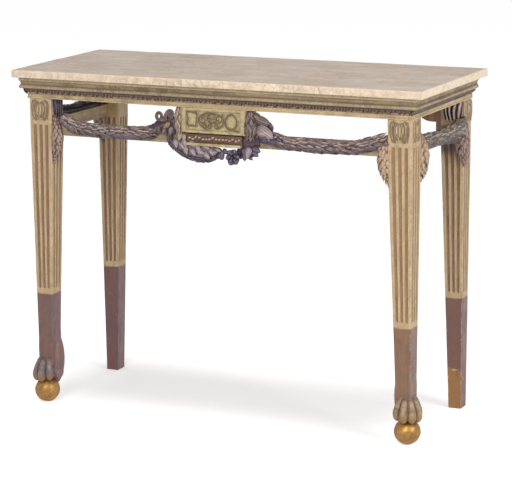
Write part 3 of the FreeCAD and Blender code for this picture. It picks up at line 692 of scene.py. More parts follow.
@dataclass(frozen=True)
class Leaf:
    """A carved leaf that lies along +X with its face towards +Z."""

    name: str
    length: float
    width: float
    dome: float
    lift: float = 0.0
    bluntness: float = 0.8
    fullness: float = 1.0
    ribs: int = 0
    along: int = 6
    across: int = 5

    def make(self) -> Piece:
        """Build the leaf as a helper object, with its relief stored.

        Returns:
            A closed leaf of a few dozen faces.
        """
        share = np.linspace(0, 1, self.along)
        across = np.linspace(-1, 1, self.across)
        outline = np.maximum(np.sin(math.pi * share ** self.bluntness), 0.0) ** self.fullness
        half = np.maximum(outline, 0.06) * self.width / 2
        rib = np.exp(-(across / 0.3) ** 2)
        stripes = np.cos(math.pi * self.ribs * (across + 1)) * bool(self.ribs)
        swell = np.sqrt(np.maximum(1 - across ** 2, 0)) * 0.75 + 0.35 * rib + 0.2 * stripes
        top = np.zeros((self.along, self.across, 3))
        top[..., 0] = (share * self.length)[:, None]
        top[..., 1] = half[:, None] * across
        top[..., 2] = (half / self.width * 2 * self.dome)[:, None] * swell + (self.lift * share ** 2)[:, None]
        under = top.copy()
        under[..., 2] = (self.lift * share ** 2)[:, None] - self.dome * 0.25
        relief = np.clip(share * 2.2, 0, 1)[:, None] * (0.25 + 0.75 * rib) * 1.3 - 0.35 + 0.5 * stripes
        values = {"relief": np.concatenate([relief.ravel(), np.full(relief.size, HOLLOW)])}
        faces = plate_faces(self.along, self.across)
        return new_piece(self.name, np.concatenate([top, under]), faces, values, crease=80.0)


class MaterialGraph(NodeGraph):
    """Node tree of a finish, with one Principled shader at its end."""

    def __init__(self, name: str, effects: "Effects") -> None:
        """Start a material with an empty tree.

        Args:
            name: Name of the material.
            effects: Shared effects that it can use.
        """
        self.material = bpy.data.materials.new(name)
        super().__init__(empty_tree(self.material))
        self.effects = effects
        self.place = self.add("ShaderNodeTexCoord").outputs["Object"]

    def stored(self, label: str) -> Socket:
        """Read a value that is stored on the piece."""
        return self.add("ShaderNodeAttribute", attribute_name=label).outputs["Fac"]

    def facing(self, axis: int) -> Socket:
        """Give one of the three numbers of the surface's direction."""
        return self.part(self.add("ShaderNodeNewGeometry").outputs["Normal"], axis)

    def blend(self, share: Feed, first: Colour | Socket, second: Colour | Socket) -> Socket:
        """Mix two colours.

        Args:
            share: Share of the second colour.
            first: First colour.
            second: Second colour.

        Returns:
            The mixed colour.
        """
        node = self.add("ShaderNodeMix", {0: share}, data_type="RGBA")
        for socket, colour in ((node.inputs[6], first), (node.inputs[7], second)):
            self.feed(socket, colour if isinstance(colour, bpy.types.NodeSocket) else (*colour, 1.0))
        return node.outputs[2]

    def coats(self, ground: Colour | Socket, *coats: tuple[Feed, Colour | Socket]) -> Socket:
        """Lay coats of colour one over another.

        Args:
            ground: Colour at the bottom.
            coats: Share and colour of each coat, from the lowest up.

        Returns:
            The colour that shows.
        """
        for share, colour in coats:
            ground = self.blend(share, ground, colour)
        return ground

    def effect(self, tree: bpy.types.NodeTree, **inputs: Feed) -> Outputs:
        """Add a shared effect at the piece's own places.

        Args:
            tree: The effect's group.
            inputs: Its other inputs.

        Returns:
            Its masks.
        """
        return self.add("ShaderNodeGroup", {"Place": self.place, **inputs}, node_tree=tree).outputs

    def mottle(self, scale: float) -> Socket:
        """Give the mask of cloudy patches."""
        return self.effect(self.effects.mottle, Scale=scale)["Mask"]

    def streaks(self, scale: float, stretch: Stretch) -> Socket:
        """Give the mask of marks that are drawn out along one way."""
        return self.effect(self.effects.streaks, Stretch=stretch, Scale=scale)["Mask"]

    def wear(self, scale: float) -> Outputs:
        """Give the masks of worn and hollow places."""
        return self.effect(self.effects.wear, Relief=self.stored("relief"), Scale=scale)

    def crackle(self, scale: float) -> Socket:
        """Give the mask of thin cracks."""
        return self.effect(self.effects.crackle, Scale=scale)["Mask"]

    def finish(self, colour: Socket, roughness: Socket, height: Socket, depth: float,
               metallic: Feed = 0.0, **settings: float) -> Material:
        """Close the tree with a Principled shader.

        Args:
            colour: Base colour.
            roughness: Roughness.
            height: Height of the bump.
            depth: Depth of the bump in metres.
            metallic: Share of metal.
            settings: Plain values of other Principled inputs, with underscores for blanks.

        Returns:
            The finished material.
        """
        bump = self.out("ShaderNodeBump", {"Strength": 1.0, "Distance": depth, "Height": height})
        shader = self.add("ShaderNodeBsdfPrincipled", {
            "Base Color": colour, "Roughness": roughness, "Normal": bump, "Metallic": metallic})
        for label, value in settings.items():
            shader.inputs[label.replace("_", " ")].default_value = value
        self.add("ShaderNodeOutputMaterial", {"Surface": shader.outputs[0]})
        return self.material


class Effects:
    """Shared effects of the finishes, each a shader node group that gives masks."""

    def __init__(self) -> None:
        """Build the groups."""
        self.mottle = self.build_mottle()
        self.streaks = self.build_streaks()
        self.wear = self.build_wear()
        self.crackle = self.build_crackle()

    @staticmethod
    def start(name: str, inputs: dict[str, str], outputs: Sequence[str]) -> tuple[NodeGraph, Outputs]:
        """Start a group with its sockets.

        Args:
            name: Name of the group.
            inputs: Socket type of each input, by name.
            outputs: Names of the number outputs.

        Returns:
            The graph of the group, and its inputs as sockets to link from.
        """
        tree = bpy.data.node_groups.new(name, "ShaderNodeTree")
        for label, kind in inputs.items():
            tree.interface.new_socket(label, in_out="INPUT", socket_type=f"NodeSocket{kind}")
        for label in outputs:
            tree.interface.new_socket(label, in_out="OUTPUT", socket_type="NodeSocketFloat")
        graph = NodeGraph(tree)
        return graph, graph.add("NodeGroupInput").outputs

    @staticmethod
    def noise(graph: NodeGraph, place: Socket, scale: Feed, **settings: float) -> Outputs:
        """Add a cloudy noise and return its outputs."""
        return graph.add("ShaderNodeTexNoise", {"Vector": place, "Scale": scale, **settings}).outputs

    def build_mottle(self) -> bpy.types.NodeTree:
        """Build cloudy patches of age: even mask from coarse and fine noise.

        Returns:
            The group.
        """
        graph, given = self.start("age_mottle", {"Place": "Vector", "Scale": "Float"}, ["Mask"])
        coarse = self.noise(graph, given["Place"], given["Scale"], Detail=5.0, Roughness=0.62)[0]
        fine = self.noise(graph, given["Place"], graph.times(given["Scale"], 4.3), Detail=3.0)[0]
        both = graph.math("ADD", graph.times(coarse, 0.7), graph.times(fine, 0.3))
        graph.add("NodeGroupOutput", {0: graph.span(both, 0.34, 0.66)})
        return graph.tree

    def build_streaks(self) -> bpy.types.NodeTree:
        """Build brush marks and grain: noise drawn out along one way.

        Returns:
            The group.
        """
        inputs = {"Place": "Vector", "Stretch": "Vector", "Scale": "Float"}
        graph, given = self.start("brush_streaks", inputs, ["Mask"])
        drawn = graph.vector("MULTIPLY", given["Place"], given["Stretch"])
        marks = self.noise(graph, drawn, given["Scale"], Detail=4.0, Roughness=0.6, Distortion=0.15)[0]
        graph.add("NodeGroupOutput", {0: graph.span(marks, 0.36, 0.64)})
        return graph.tree

    def build_wear(self) -> bpy.types.NodeTree:
        """Build edge wear and hollow dirt from the stored relief, broken up by noise.

        Returns:
            The group.
        """
        inputs = {"Place": "Vector", "Relief": "Float", "Scale": "Float"}
        graph, given = self.start("edge_wear", inputs, ["Worn", "Hollow"])
        rough = self.noise(graph, given["Place"], given["Scale"], Detail=4.0, Roughness=0.65)[0]
        shift = graph.times(graph.math("SUBTRACT", rough, 0.5), 1.6)
        worn = graph.span(graph.math("ADD", given["Relief"], shift), 0.25, 0.75)
        hollow = graph.span(graph.math("ADD", graph.times(given["Relief"], -1.0), shift), 0.1, 0.8)
        graph.add("NodeGroupOutput", {0: worn, 1: hollow})
        return graph.tree

    def build_crackle(self) -> bpy.types.NodeTree:
        """Build the thin cracks of old paint.

        Returns:
            The group.
        """
        graph, given = self.start("paint_cracks", {"Place": "Vector", "Scale": "Float"}, ["Mask"])
        bend = self.noise(graph, given["Place"], given["Scale"])["Color"]
        pulled = graph.vector("ADD", given["Place"], graph.scaled(bend, 0.004))
        cells = graph.add("ShaderNodeTexVoronoi", {"Vector": pulled, "Scale": given["Scale"]},
                          feature="DISTANCE_TO_EDGE").outputs["Distance"]
        graph.add("NodeGroupOutput", {0: graph.span(cells, 0.0, 0.05, 1.0, 0.0)})
        return graph.tree


@dataclass(frozen=True)
class CreamPaint:
    """Cream paint with a brown glaze in the hollows and brush marks along the wood."""

    name: str
    paint: Colour
    patch: Colour
    glaze: Colour
    bare: Colour
    stretch: Stretch
    glazed: float

    def material(self, effects: Effects) -> Material:
        """Build the material from the shared effects.

        Args:
            effects: Shared effects.

        Returns:
            The material.
        """
        graph = MaterialGraph(self.name, effects)
        mottle, cracks, wear = graph.mottle(24.0), graph.crackle(110.0), graph.wear(160.0)
        marks, broad = graph.streaks(150.0, self.stretch), graph.streaks(50.0, self.stretch)
        dirt = graph.times(broad, graph.span(mottle, 0.2, 0.8, 0.2 * self.glazed, 1.5 * self.glazed))
        hollow = graph.math("MAXIMUM", graph.times(wear["Hollow"], 0.8), graph.stored("stain"))
        colour = graph.coats(self.paint, (mottle, self.patch), (graph.times(marks, self.glazed), self.glaze),
                             (dirt, self.glaze), (graph.times(wear["Worn"], 0.75), self.bare),
                             (hollow, self.glaze), (graph.times(cracks, 0.35), self.glaze))
        height = graph.math("SUBTRACT", graph.times(marks, 0.5), cracks)
        return graph.finish(colour, graph.ease(mottle, 0.42, 0.62), height, depth=0.00025)


@dataclass(frozen=True)
class LegPaint:
    """Paint of the legs: cream and fluted above, brown and streaked below a painted line."""

    name: str
    cream: Colour
    patch: Colour
    glaze: Colour
    brown: Colour
    mauve: Colour
    rosy: Colour
    ochre: Colour
    pale: Colour
    smoke: Colour
    tan: Colour
    # Colour of the painted light on lower faces that point right.
    side_light: Colour
    line: float
    blur: float = 0.002
    upright: Stretch = (1.0, 1.0, 0.06)

    def lower(self, graph: MaterialGraph) -> Socket:
        """Give the colour of the brown lower part, redder or more ochre by the stored leg values.

        Args:
            graph: Material that the colour is for.

        Returns:
            The colour.
        """
        blotch, rosy = graph.mottle(9.0), graph.stored("rosy")
        marks, broad = graph.streaks(210.0, self.upright), graph.streaks(60.0, (1.0, 1.0, 0.1))
        # Painted light from the right: lower faces that point right take a lighter, more mauve colour, more on the
        # redder legs.
        sideways = graph.span(graph.facing(0), 0.3, 0.9)
        gold = graph.times(graph.span(blotch, 0.9, 0.2), broad)
        colour = graph.coats(
            self.brown, (rosy, self.rosy), (graph.times(blotch, graph.span(rosy, 0.0, 0.4, 0.25, 0.6)), self.mauve),
            (graph.times(sideways, graph.ease(rosy, 0.35, 0.75)), self.side_light),
            (graph.times(marks, 0.5), self.mauve), (graph.times(broad, 0.35), self.smoke),
            (graph.times(gold, graph.span(rosy, 0.0, 0.35, 0.4, 0.15)), self.ochre))
        toe = graph.blend(graph.times(marks, 0.5), self.ochre, self.brown)
        ragged = graph.math("ADD", graph.stored("toe"), graph.math("SUBTRACT", graph.mottle(70.0), 0.5))
        return graph.blend(graph.span(ragged, 0.35, 0.65), colour, toe)

    def material(self, effects: Effects) -> Material:
        """Build the material from the shared effects.

        Args:
            effects: Shared effects.

        Returns:
            The material.
        """
        graph = MaterialGraph(self.name, effects)
        mottle, cracks, wear = graph.mottle(22.0), graph.crackle(95.0), graph.wear(130.0)
        marks = graph.streaks(210.0, self.upright)
        glaze = graph.blend(graph.span(graph.stored("rosy"), 0.0, 0.4), self.tan, self.glaze)
        # A dark streaked coat on the band of the front face that the leg stores.
        darkened = graph.times(graph.stored("smoke"), graph.ease(marks, 0.6, 1.0))
        above = graph.coats(
            self.cream, (mottle, self.patch), (graph.times(marks, 0.3), self.glaze),
            (graph.times(wear["Worn"], 0.6), self.pale),
            (graph.times(graph.stored("stain"), graph.ease(mottle, 1.0, 0.7)), glaze), (darkened, self.smoke))
        below = graph.blend(graph.times(wear["Worn"], 0.7), self.lower(graph), self.pale)
        wavy = graph.times(graph.math("SUBTRACT", mottle, 0.5), 2 * self.blur)
        level = graph.math("ADD", graph.part(graph.place, 2), wavy)
        colour = graph.blend(graph.span(level, self.line - self.blur, self.line + self.blur), below, above)
        colour = graph.blend(graph.times(cracks, 0.3), colour, self.glaze)
        bump = graph.math("SUBTRACT", graph.times(marks, 0.6), cracks)
        return graph.finish(colour, graph.ease(mottle, 0.4, 0.6), bump, depth=0.0003)


@dataclass(frozen=True)
class PawPaint:
    """Finish of the paws: brown like the shank, with bronzed toes on the left foot and worn gilt ones on the right.

    Both sets of toe colours run from deep to light.
    """

    name: str
    shank: LegPaint
    cool: tuple[Colour, ...]
    warm: tuple[Colour, ...]
    gold: Colour
    sole: float

    def material(self, effects: Effects) -> Material:
        """Build the material from the shared effects.

        Args:
            effects: Shared effects.

        Returns:
            The material.
        """
        graph = MaterialGraph(self.name, effects)
        mottle, wear = graph.mottle(40.0), graph.wear(120.0)
        marks = graph.streaks(190.0, (1.0, 1.0, 0.08))
        cooler = graph.span(graph.stored("rosy"), 0.0, 0.35)
        deep, shade, middle, light = (graph.blend(cooler, warm, cool) for warm, cool in zip(self.warm, self.cool))
        toes = graph.blend(graph.times(mottle, 0.6), middle, shade)
        under = graph.span(graph.part(graph.place, 2), self.sole + 0.01, self.sole - 0.012, 0.0, 0.85)
        ragged = graph.math("ADD", graph.stored("toes"), graph.times(graph.math("SUBTRACT", mottle, 0.5), 0.5))
        ankle = graph.span(ragged, 0.7, 0.3)
        hollow = graph.times(wear["Hollow"], graph.ease(ankle, 0.85, 0.3))
        rubbed = graph.times(wear["Worn"], graph.ease(ankle, 0.55, 0.05))
        rubbed = graph.times(rubbed, graph.span(mottle, 0.1, 0.9, 1.0, 0.4))
        gilt = graph.times(under, graph.math("SUBTRACT", 1.0, ankle))
        colour = graph.coats(toes, (ankle, self.shank.lower(graph)), (rubbed, light), (gilt, self.gold),
                             (hollow, deep))
        return graph.finish(colour, graph.ease(mottle, 0.36, 0.52), marks, depth=0.0003, metallic=0.1)


@dataclass(frozen=True)
class Bronzing:
    """Dark bronzed carving with paler, rubbed high places; where under is set, the rubbed light keeps to faces that
    point up as a painted highlight and faces that point down take painted shade.
    """

    name: str
    deep: Colour
    middle: Colour
    light: Colour
    tint: Colour
    metal: float = 0.12
    scale: float = 60.0
    # Share of painted shade on faces that point down, which also takes the painted highlight off them.
    under: float = 0.0

    def material(self, effects: Effects) -> Material:
        """Build the material from the shared effects.

        Args:
            effects: Shared effects.

        Returns:
            The material.
        """
        graph = MaterialGraph(self.name, effects)
        mottle, patches, wear = graph.mottle(self.scale), graph.mottle(self.scale / 3), graph.wear(240.0)
        upward = graph.facing(2)
        rubbed = graph.times(wear["Worn"], graph.ease(mottle, 0.45, 1.0))
        # Painted highlight: the rubbed light fades on faces that point down.
        rubbed = graph.times(rubbed, graph.span(upward, -0.3, 0.5, 1.0 - self.under, 1.0))
        # The last coat is painted shade: the deep colour on faces that point down.
        colour = graph.coats(self.middle, (patches, self.tint), (wear["Hollow"], self.deep), (rubbed, self.light),
                             (graph.span(upward, 0.25, -0.5, 0.0, self.under), self.deep))
        return graph.finish(colour, graph.ease(mottle, 0.34, 0.58), mottle, depth=0.0004, metallic=self.metal)


@dataclass(frozen=True)
class Marble:
    """Polished warm marble with long streaks over its top and fine broken veins, with end faces painted paler as
    painted light.
    """

    name: str
    body: Colour
    cloud: Colour
    vein: Colour
    edge: Colour

    def material(self, effects: Effects) -> Material:
        """Build the material from the shared effects.

        Args:
            effects: Shared effects.

        Returns:
            The material.
        """
        graph = MaterialGraph(self.name, effects)
        cloud, specks, blotch = graph.mottle(7.0), graph.mottle(48.0), graph.mottle(26.0)
        drift, fine = graph.streaks(22.0, (0.3, 1.0, 1.0)), graph.streaks(85.0, (0.12, 1.0, 1.0))
        veins = graph.times(graph.crackle(42.0), graph.span(cloud, 0.15, 0.7))
        level = graph.span(graph.facing(2), 0.35, 0.9)
        # Painted light: faces towards the ends get fewer blotches and specks, so they read paler.
        end = graph.span(graph.math("ABSOLUTE", graph.facing(0)), 0.3, 0.9)
        top = graph.coats(self.body, (graph.times(drift, 0.6), self.cloud), (graph.times(specks, 0.4), self.cloud),
                          (graph.times(fine, 0.35), self.vein))
        side = graph.coats(self.edge, (graph.times(blotch, graph.ease(end, 0.75, 0.3)), self.body),
                           (graph.times(specks, graph.ease(end, 0.5, 0.15)), self.vein))
        colour = graph.coats(side, (level, top), (graph.times(veins, graph.ease(level, 0.65, 0.8)), self.vein),
                             (graph.times(graph.wear(180.0)["Worn"], 0.5), self.edge))
        return graph.finish(colour, graph.ease(cloud, 0.36, 0.46), fine, depth=0.00004, Specular_IOR_Level=0.22)


@dataclass(frozen=True)
class Gilding:
    """Worn gold leaf over a brown ground, with painted shade at the rim where the surface turns away from the view.
    """

    name: str
    gold: Colour
    warm: Colour
    ground: Colour

    def material(self, effects: Effects) -> Material:
        """Build the material from the shared effects.

        Args:
            effects: Shared effects.

        Returns:
            The material.
        """
        graph = MaterialGraph(self.name, effects)
        mottle, rubs, cracks = graph.mottle(38.0), graph.mottle(75.0), graph.crackle(130.0)
        bare = graph.times(graph.span(rubs, 0.5, 1.0), 0.45)
        # Painted shade: the brown ground covers the rim of the ball, where its surface turns away from the view.
        rim = graph.add("ShaderNodeLayerWeight", {"Blend": 0.4}).outputs["Facing"]
        colour = graph.coats(self.gold, (mottle, self.warm), (bare, self.ground),
                             (graph.times(cracks, 0.15), self.ground),
                             (graph.span(rim, 0.3, 1.0, 0.0, 0.75), self.ground))
        metal = graph.span(bare, 0.0, 0.6, 0.7, 0.2)
        height = graph.math("SUBTRACT", mottle, cracks)
        return graph.finish(colour, graph.ease(rubs, 0.34, 0.48), height, depth=0.00004, metallic=metal)


@dataclass(frozen=True)
class BareWood:
    """Unpainted old wood with grain along one way."""

    name: str
    wood: Colour
    dark: Colour
    stretch: Stretch

    def material(self, effects: Effects) -> Material:
        """Build the material from the shared effects.

        Args:
            effects: Shared effects.

        Returns:
            The material.
        """
        graph = MaterialGraph(self.name, effects)
        grain, broad = graph.streaks(190.0, self.stretch), graph.streaks(45.0, self.stretch)
        colour = graph.coats(self.wood, (broad, self.dark), (graph.times(grain, 0.55), self.dark),
                             (graph.times(graph.mottle(15.0), 0.25), self.wood))
        return graph.finish(colour, graph.ease(grain, 0.55, 0.75), grain, depth=0.0003)


LEVEL_BRUSH, NO_BRUSH = (0.05, 0.05, 1.0), (1.0, 1.0, 1.0)
PAINTS = {
    "cornice": (LEVEL_BRUSH, 0.5, (168, 149, 114), (152, 133, 99), (92, 72, 58), (180, 161, 125)),
    "fascia": (LEVEL_BRUSH, 0.35, (209, 185, 141), (193, 169, 127), (104, 82, 62), (210, 188, 148)),
    "rail": ((0.06, 0.06, 1.0), 0.35, (186, 163, 125), (166, 145, 111), (104, 82, 62), (204, 182, 140)),
    "tablet": (NO_BRUSH, 0.2, (197, 178, 134), (180, 162, 119), (74, 55, 36), (192, 174, 134)),
    "patera": (NO_BRUSH, 0.2, (196, 173, 133), (180, 157, 118), (104, 82, 62), (200, 178, 138)),
}
# Each finish: share of painted underside shade, then deep, middle, light and tint colours.
BRONZES = {
    "strip": (0.0, (88, 65, 54), (140, 112, 92), (190, 162, 136), (116, 88, 72)),
    "leaf_band": (0.0, (54, 41, 46), (92, 72, 68), (138, 113, 90), (100, 75, 64)),
    "laurel": (0.65, (42, 33, 50), (110, 93, 95), (196, 180, 166), (116, 95, 88)),
    "silver": (0.55, (37, 29, 38), (92, 79, 74), (186, 175, 161), (98, 80, 67)),
    "drop": (0.2, (122, 98, 80), (160, 135, 110), (194, 170, 140), (148, 120, 100)),
    "brown_drop": (0.3, (102, 80, 77), (143, 119, 106), (182, 158, 137), (127, 101, 94)),
    "ribbon": (0.0, (42, 34, 52), (104, 88, 92), (196, 177, 150), (90, 76, 88)),
    "bunch": (0.45, (43, 33, 50), (95, 78, 78), (152, 131, 117), (106, 84, 72)),
    "ochre_leaf": (0.3, (84, 65, 52), (130, 104, 76), (162, 135, 102), (112, 90, 74)),
    "cant_leaf": (0.3, (96, 79, 72), (149, 129, 110), (180, 162, 138), (136, 115, 105)),
    "festoon": (0.3, (40, 31, 54), (74, 60, 80), (126, 110, 122), (82, 66, 74)),
    "pale_leaf": (0.15, (94, 79, 88), (142, 125, 125), (180, 164, 154), (124, 108, 116)),
    "tail": (0.0, (50, 37, 45), (80, 60, 66), (106, 86, 88), (70, 52, 58)),
    "flower": (0.2, (37, 29, 50), (66, 54, 74), (136, 120, 132), (76, 62, 78)),
}


class Finishes:
    """All materials of the table."""

    def __init__(self) -> None:
        """Build every material once."""
        effects = Effects()
        self.marble = Marble("warm_marble", srgb(210, 191, 167), srgb(178, 157, 140), srgb(164, 136, 121),
                             srgb(232, 215, 187)).material(effects)
        self.painted, self.bronzed = {}, {}
        for name, (stretch, glazed, *colours) in PAINTS.items():
            paint = CreamPaint(f"{name}_paint", *(srgb(*colour) for colour in colours), stretch, glazed)
            self.painted[name] = paint.material(effects)
        for name, (under, *colours) in BRONZES.items():
            bronze = Bronzing(f"{name}_bronzing", *(srgb(*colour) for colour in colours), under=under)
            self.bronzed[name] = bronze.material(effects)
        leg = LegPaint("leg_paint", srgb(198, 172, 133), srgb(182, 156, 118), srgb(120, 89, 68),
                       brown=srgb(135, 100, 68), mauve=srgb(98, 76, 76), rosy=srgb(112, 68, 66),
                       ochre=srgb(152, 107, 58), pale=srgb(208, 184, 146), smoke=srgb(78, 58, 64),
                       tan=srgb(138, 106, 74), side_light=srgb(130, 105, 110), line=0.3)
        self.leg = leg.material(effects)
        cool = (srgb(42, 33, 43), srgb(80, 66, 72), srgb(105, 90, 86), srgb(144, 130, 119))
        warm = (srgb(66, 46, 36), srgb(104, 79, 58), srgb(130, 104, 75), srgb(178, 154, 120))
        self.paw = PawPaint("paw_paint", leg, cool, warm, srgb(142, 102, 56), sole=0.078).material(effects)
        self.gilding = Gilding("ball_gilding", srgb(168, 128, 68), srgb(140, 99, 53),
                               srgb(98, 66, 40)).material(effects)
        self.wood = BareWood("bare_wood", srgb(128, 100, 76), srgb(84, 62, 48), LEVEL_BRUSH).material(effects)
        self.upright_wood = BareWood("bracket_wood", srgb(172, 140, 112), srgb(122, 94, 75),
                                     (1.0, 1.0, 0.06)).material(effects)


@dataclass
class MarbleSlab:
    """The loose slab, with a worn arris round its top."""

    arris: float = 0.0024
    underside_arris: float = 0.0012
    spacing: float = 0.006
    rubbed: float = 0.007
    margin: float = 0.04
    chip: Ripple = field(default_factory=lambda: Ripple(0.05, 3))

    def ring(self, inset: Array | float, height: Array | float) -> Array:
        """Give one ring of points round the slab.

        Args:
            inset: Distance inside the slab's outline.
            height: Height of the ring.

        Returns:
            Points along the four sides.
        """
        low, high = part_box("marble_top")
        inset = np.broadcast_to(inset, len(self.shares))
        middle = np.array([(low.x + high.x) / 2, (low.y + high.y) / 2])
        half = np.array([(high.x - low.x) / 2, (high.y - low.y) / 2])
        flat = middle + self.shares * (half - inset[:, None])
        return np.column_stack([flat, np.broadcast_to(height, len(flat))])

    def __post_init__(self) -> None:
        """Lay out the ring's points as shares of the half length and depth."""
        low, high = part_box("marble_top")
        long = np.linspace(-1, 1, round((high.x - low.x) / self.spacing), endpoint=False)
        short = np.linspace(-1, 1, round((high.y - low.y) / self.spacing), endpoint=False)
        self.shares = np.concatenate([
            np.column_stack([long, np.full_like(long, -1)]), np.column_stack([np.ones_like(short), short]),
            np.column_stack([-long, np.ones_like(long)]), np.column_stack([-np.ones_like(short), -short])])

    def build(self, finishes: Finishes) -> None:
        """Build the slab and dress it.

        Args:
            finishes: Materials of the table.
        """
        low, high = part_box("marble_top")
        worn = self.arris * np.clip(1 + 0.45 * self.chip.at(self.ring(0.0, high.z)), 0.35, 2.2)
        under = self.underside_arris
        rows = [(self.margin, high.z, 0.0), (self.rubbed, high.z, 0.0), (worn, high.z, 0.9)]
        for angle in np.radians([30, 60]):
            rows.append((worn * (1 - np.sin(angle)), high.z - worn * (1 - np.cos(angle)), 1.0))
        rows += [(0.0, high.z - worn, 0.4), (0.0, low.z + under, 0.1), (under, low.z, 0.4), (self.margin, low.z, 0.0)]
        places = np.array([self.ring(inset, height) for inset, height, _ in rows])
        values = {"relief": np.repeat([relief for *_, relief in rows], places.shape[1])}
        slab = new_piece("slab", places, skin_faces(*places.shape[:2]), values, crease=30.0)
        hand_over(slab, finishes.marble, Slot.MARBLE, "marble_top", body=Body.TOP)


CORNICE = ((0, 0, 0, 0), (0.7, 0, 0, 0.6), (0.93, 0.05, 0.3, 0.3), (1, 0.14, 0.5, 0), (1, 0.22, 0.5, 0),
           (0.95, 0.31, 0.2, 0.2), (0.86, 0.36, -0.6, 0.75), (0.8, 0.42, -0.4, 0.5), (0.82, 0.55, 0, 0.15),
           (0.88, 0.66, 0, 0.1), (0.95, 0.72, 0, 0.3), (1, 0.74, 0.6, 0), (1, 0.97, 0.6, 0.2), (0, 1, 0, 0))
FASCIA = ((0, 0, 0, 0), (0.85, 0, 0, 0.5), (1, 0.06, 0.5, 0), (1, 0.22, 0.5, 0), (0.8, 0.27, -0.4, 0.55),
          (0.75, 0.34, 0, 0.1), (0.75, 0.9, 0, 0.25), (0.75, 1, 0, 0.7), (0, 1, 0, 0))
LEAF_BAND = ((0, 0.34, -0.7, 0), (0.3, 0.34, -0.7, 0), (0.82, 0.93, -0.4, 0), (0.9, 1, 0.2, 0), (0, 1, 0, 0))


@dataclass
class Mouldings:
    """Cornice, leaf band and fascia, mitred round the front and both ends."""

    step: float = 0.012
    tongue: Leaf = Leaf("tongue_leaf", 0.0185, 0.0105, 0.0042, lift=0.001, bluntness=0.62)
    tongue_pitch: float = 0.0085

    def __post_init__(self) -> None:
        """Read the leg faces that the mouldings run round."""
        low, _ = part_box("leg_front_left")
        _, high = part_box("leg_back_right")
        self.half_length, self.front, self.back = -low.x, low.y, high.y

    def place(self, side: Side, reach: Array, height: Array, share: float) -> Array:
        """Give the points of a profile at one place along a side.

        Args:
            side: Side of the table.
            reach: Distances of the profile's points out of the leg faces.
            height: Their heights.
            share: Place along the side, from 0 to 1.

        Returns:
            The points, mitred at the front corners.
        """
        if side is Side.FRONT:
            return np.column_stack([(self.half_length + reach) * (2 * share - 1), self.front - reach, height])
        start = self.front - reach
        depth = start + (self.back - start) * share
        return np.column_stack([side.value[0] * (self.half_length + reach), depth, height])

    def run(self, name: str, side: Side, profile: Array, ripple: Ripple, depth: float) -> Piece:
        """Sweep a profile along a side.

        Args:
            name: Name of the piece.
            side: Side of the table.
            profile: Reach, height, relief and stain of each point, from the bottom inner one round to the top.
            ripple: Unevenness of the surface.
            depth: Depth of the unevenness.

        Returns:
            The swept piece.
        """
        length = 2 * self.half_length if side is Side.FRONT else self.back - self.front
        shares = np.linspace(0, 1, round(length / self.step) + 1)
        reach, height, relief, stain = profile.T
        inner = reach < 0.002
        rings = []
        for share in shares:
            uneven = depth * (1 + ripple.at(self.place(side, reach, height, share))) / 2
            rings.append(self.place(side, reach - np.where(inner, 0, uneven), height, share))
        places = np.array(rings)
        values = {"relief": np.tile(relief, len(shares)), "stain": np.tile(stain, len(shares))}
        return new_piece(name, places, skin_faces(*places.shape[:2]), values, crease=32.0)

    def outline(self, node: str, rows: Sequence[Spot]) -> Array:
        """Fit a profile to the reach and height of a node at the front.

        Args:
            node: The CAD node.
            rows: Share of the reach, share of the height, relief and stain of each point.

        Returns:
            Reach, height, relief and stain of each point.
        """
        low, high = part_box(node)
        profile = np.array(rows, float)
        profile[:, 0] *= self.front - low.y
        profile[:, 1] = low.z + profile[:, 1] * (high.z - low.z)
        return profile

    def build_leaf_band(self, side: Side, finishes: Finishes, tree: GeometryTree, leaf: Piece) -> None:
        """Build the slanted band on one side and set carved leaf tongues on it.

        Args:
            side: Side of the table.
            finishes: Materials of the table.
            tree: Tree that sets the leaves.
            leaf: Leaf to set.
        """
        node, bronze = f"leaf_moulding_{side.name.lower()}", finishes.bronzed["leaf_band"]
        low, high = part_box("leaf_moulding_front")
        reach, height = self.front - low.y, high.z - low.z
        profile = self.outline("leaf_moulding_front", LEAF_BAND)
        ground = self.run(f"{node}_ground", side, profile, Ripple(0.03, 21), 0.0004)
        slant = math.atan2(0.7 * reach, 0.93 * height)
        down = -side.outward * math.sin(slant) + np.array([0, 0, -math.cos(slant)])
        face = side.outward * math.cos(slant) - np.array([0, 0, math.sin(slant)])
        top, level = np.array([reach * 0.72]), np.array([high.z - height * 0.05])
        ends = [self.place(side, top, level, share)[0] for share in (0.004, 0.996)]
        piece = tree.run(f"{node}_carved", Path(np.array(ends), 0.001), Leaf=leaf, Ground=ground,
                         Step=self.tongue_pitch, Along=tuple(down), Outward=tuple(face), Twist=0.34, Lowest=0.6,
                         Highest=1.05, Seed=5, Material=bronze)
        drop_piece(ground)
        hand_over(piece, bronze, Slot.CARVING, node)

    def build(self, finishes: Finishes) -> None:
        """Build all mouldings and dress them.

        Args:
            finishes: Materials of the table.
        """
        tree, leaf = leaf_row_tree(), self.tongue.make()
        plain = (("cornice", CORNICE, 0.07, 31, 0.0006), ("fascia", FASCIA, 0.06, 41, 0.0005))
        for number, side in enumerate((Side.FRONT, Side.LEFT, Side.RIGHT)):
            name = side.name.lower()
            for kind, rows, wavelength, seed, depth in plain:
                profile = self.outline(f"{kind}_front", rows)
                piece = self.run(f"{kind}_run_{name}", side, profile, Ripple(wavelength, seed + number), depth)
                hand_over(piece, finishes.painted[kind], Slot.PAINT, f"{kind}_{name}")
            self.build_leaf_band(side, finishes, tree, leaf)
        drop_piece(leaf)


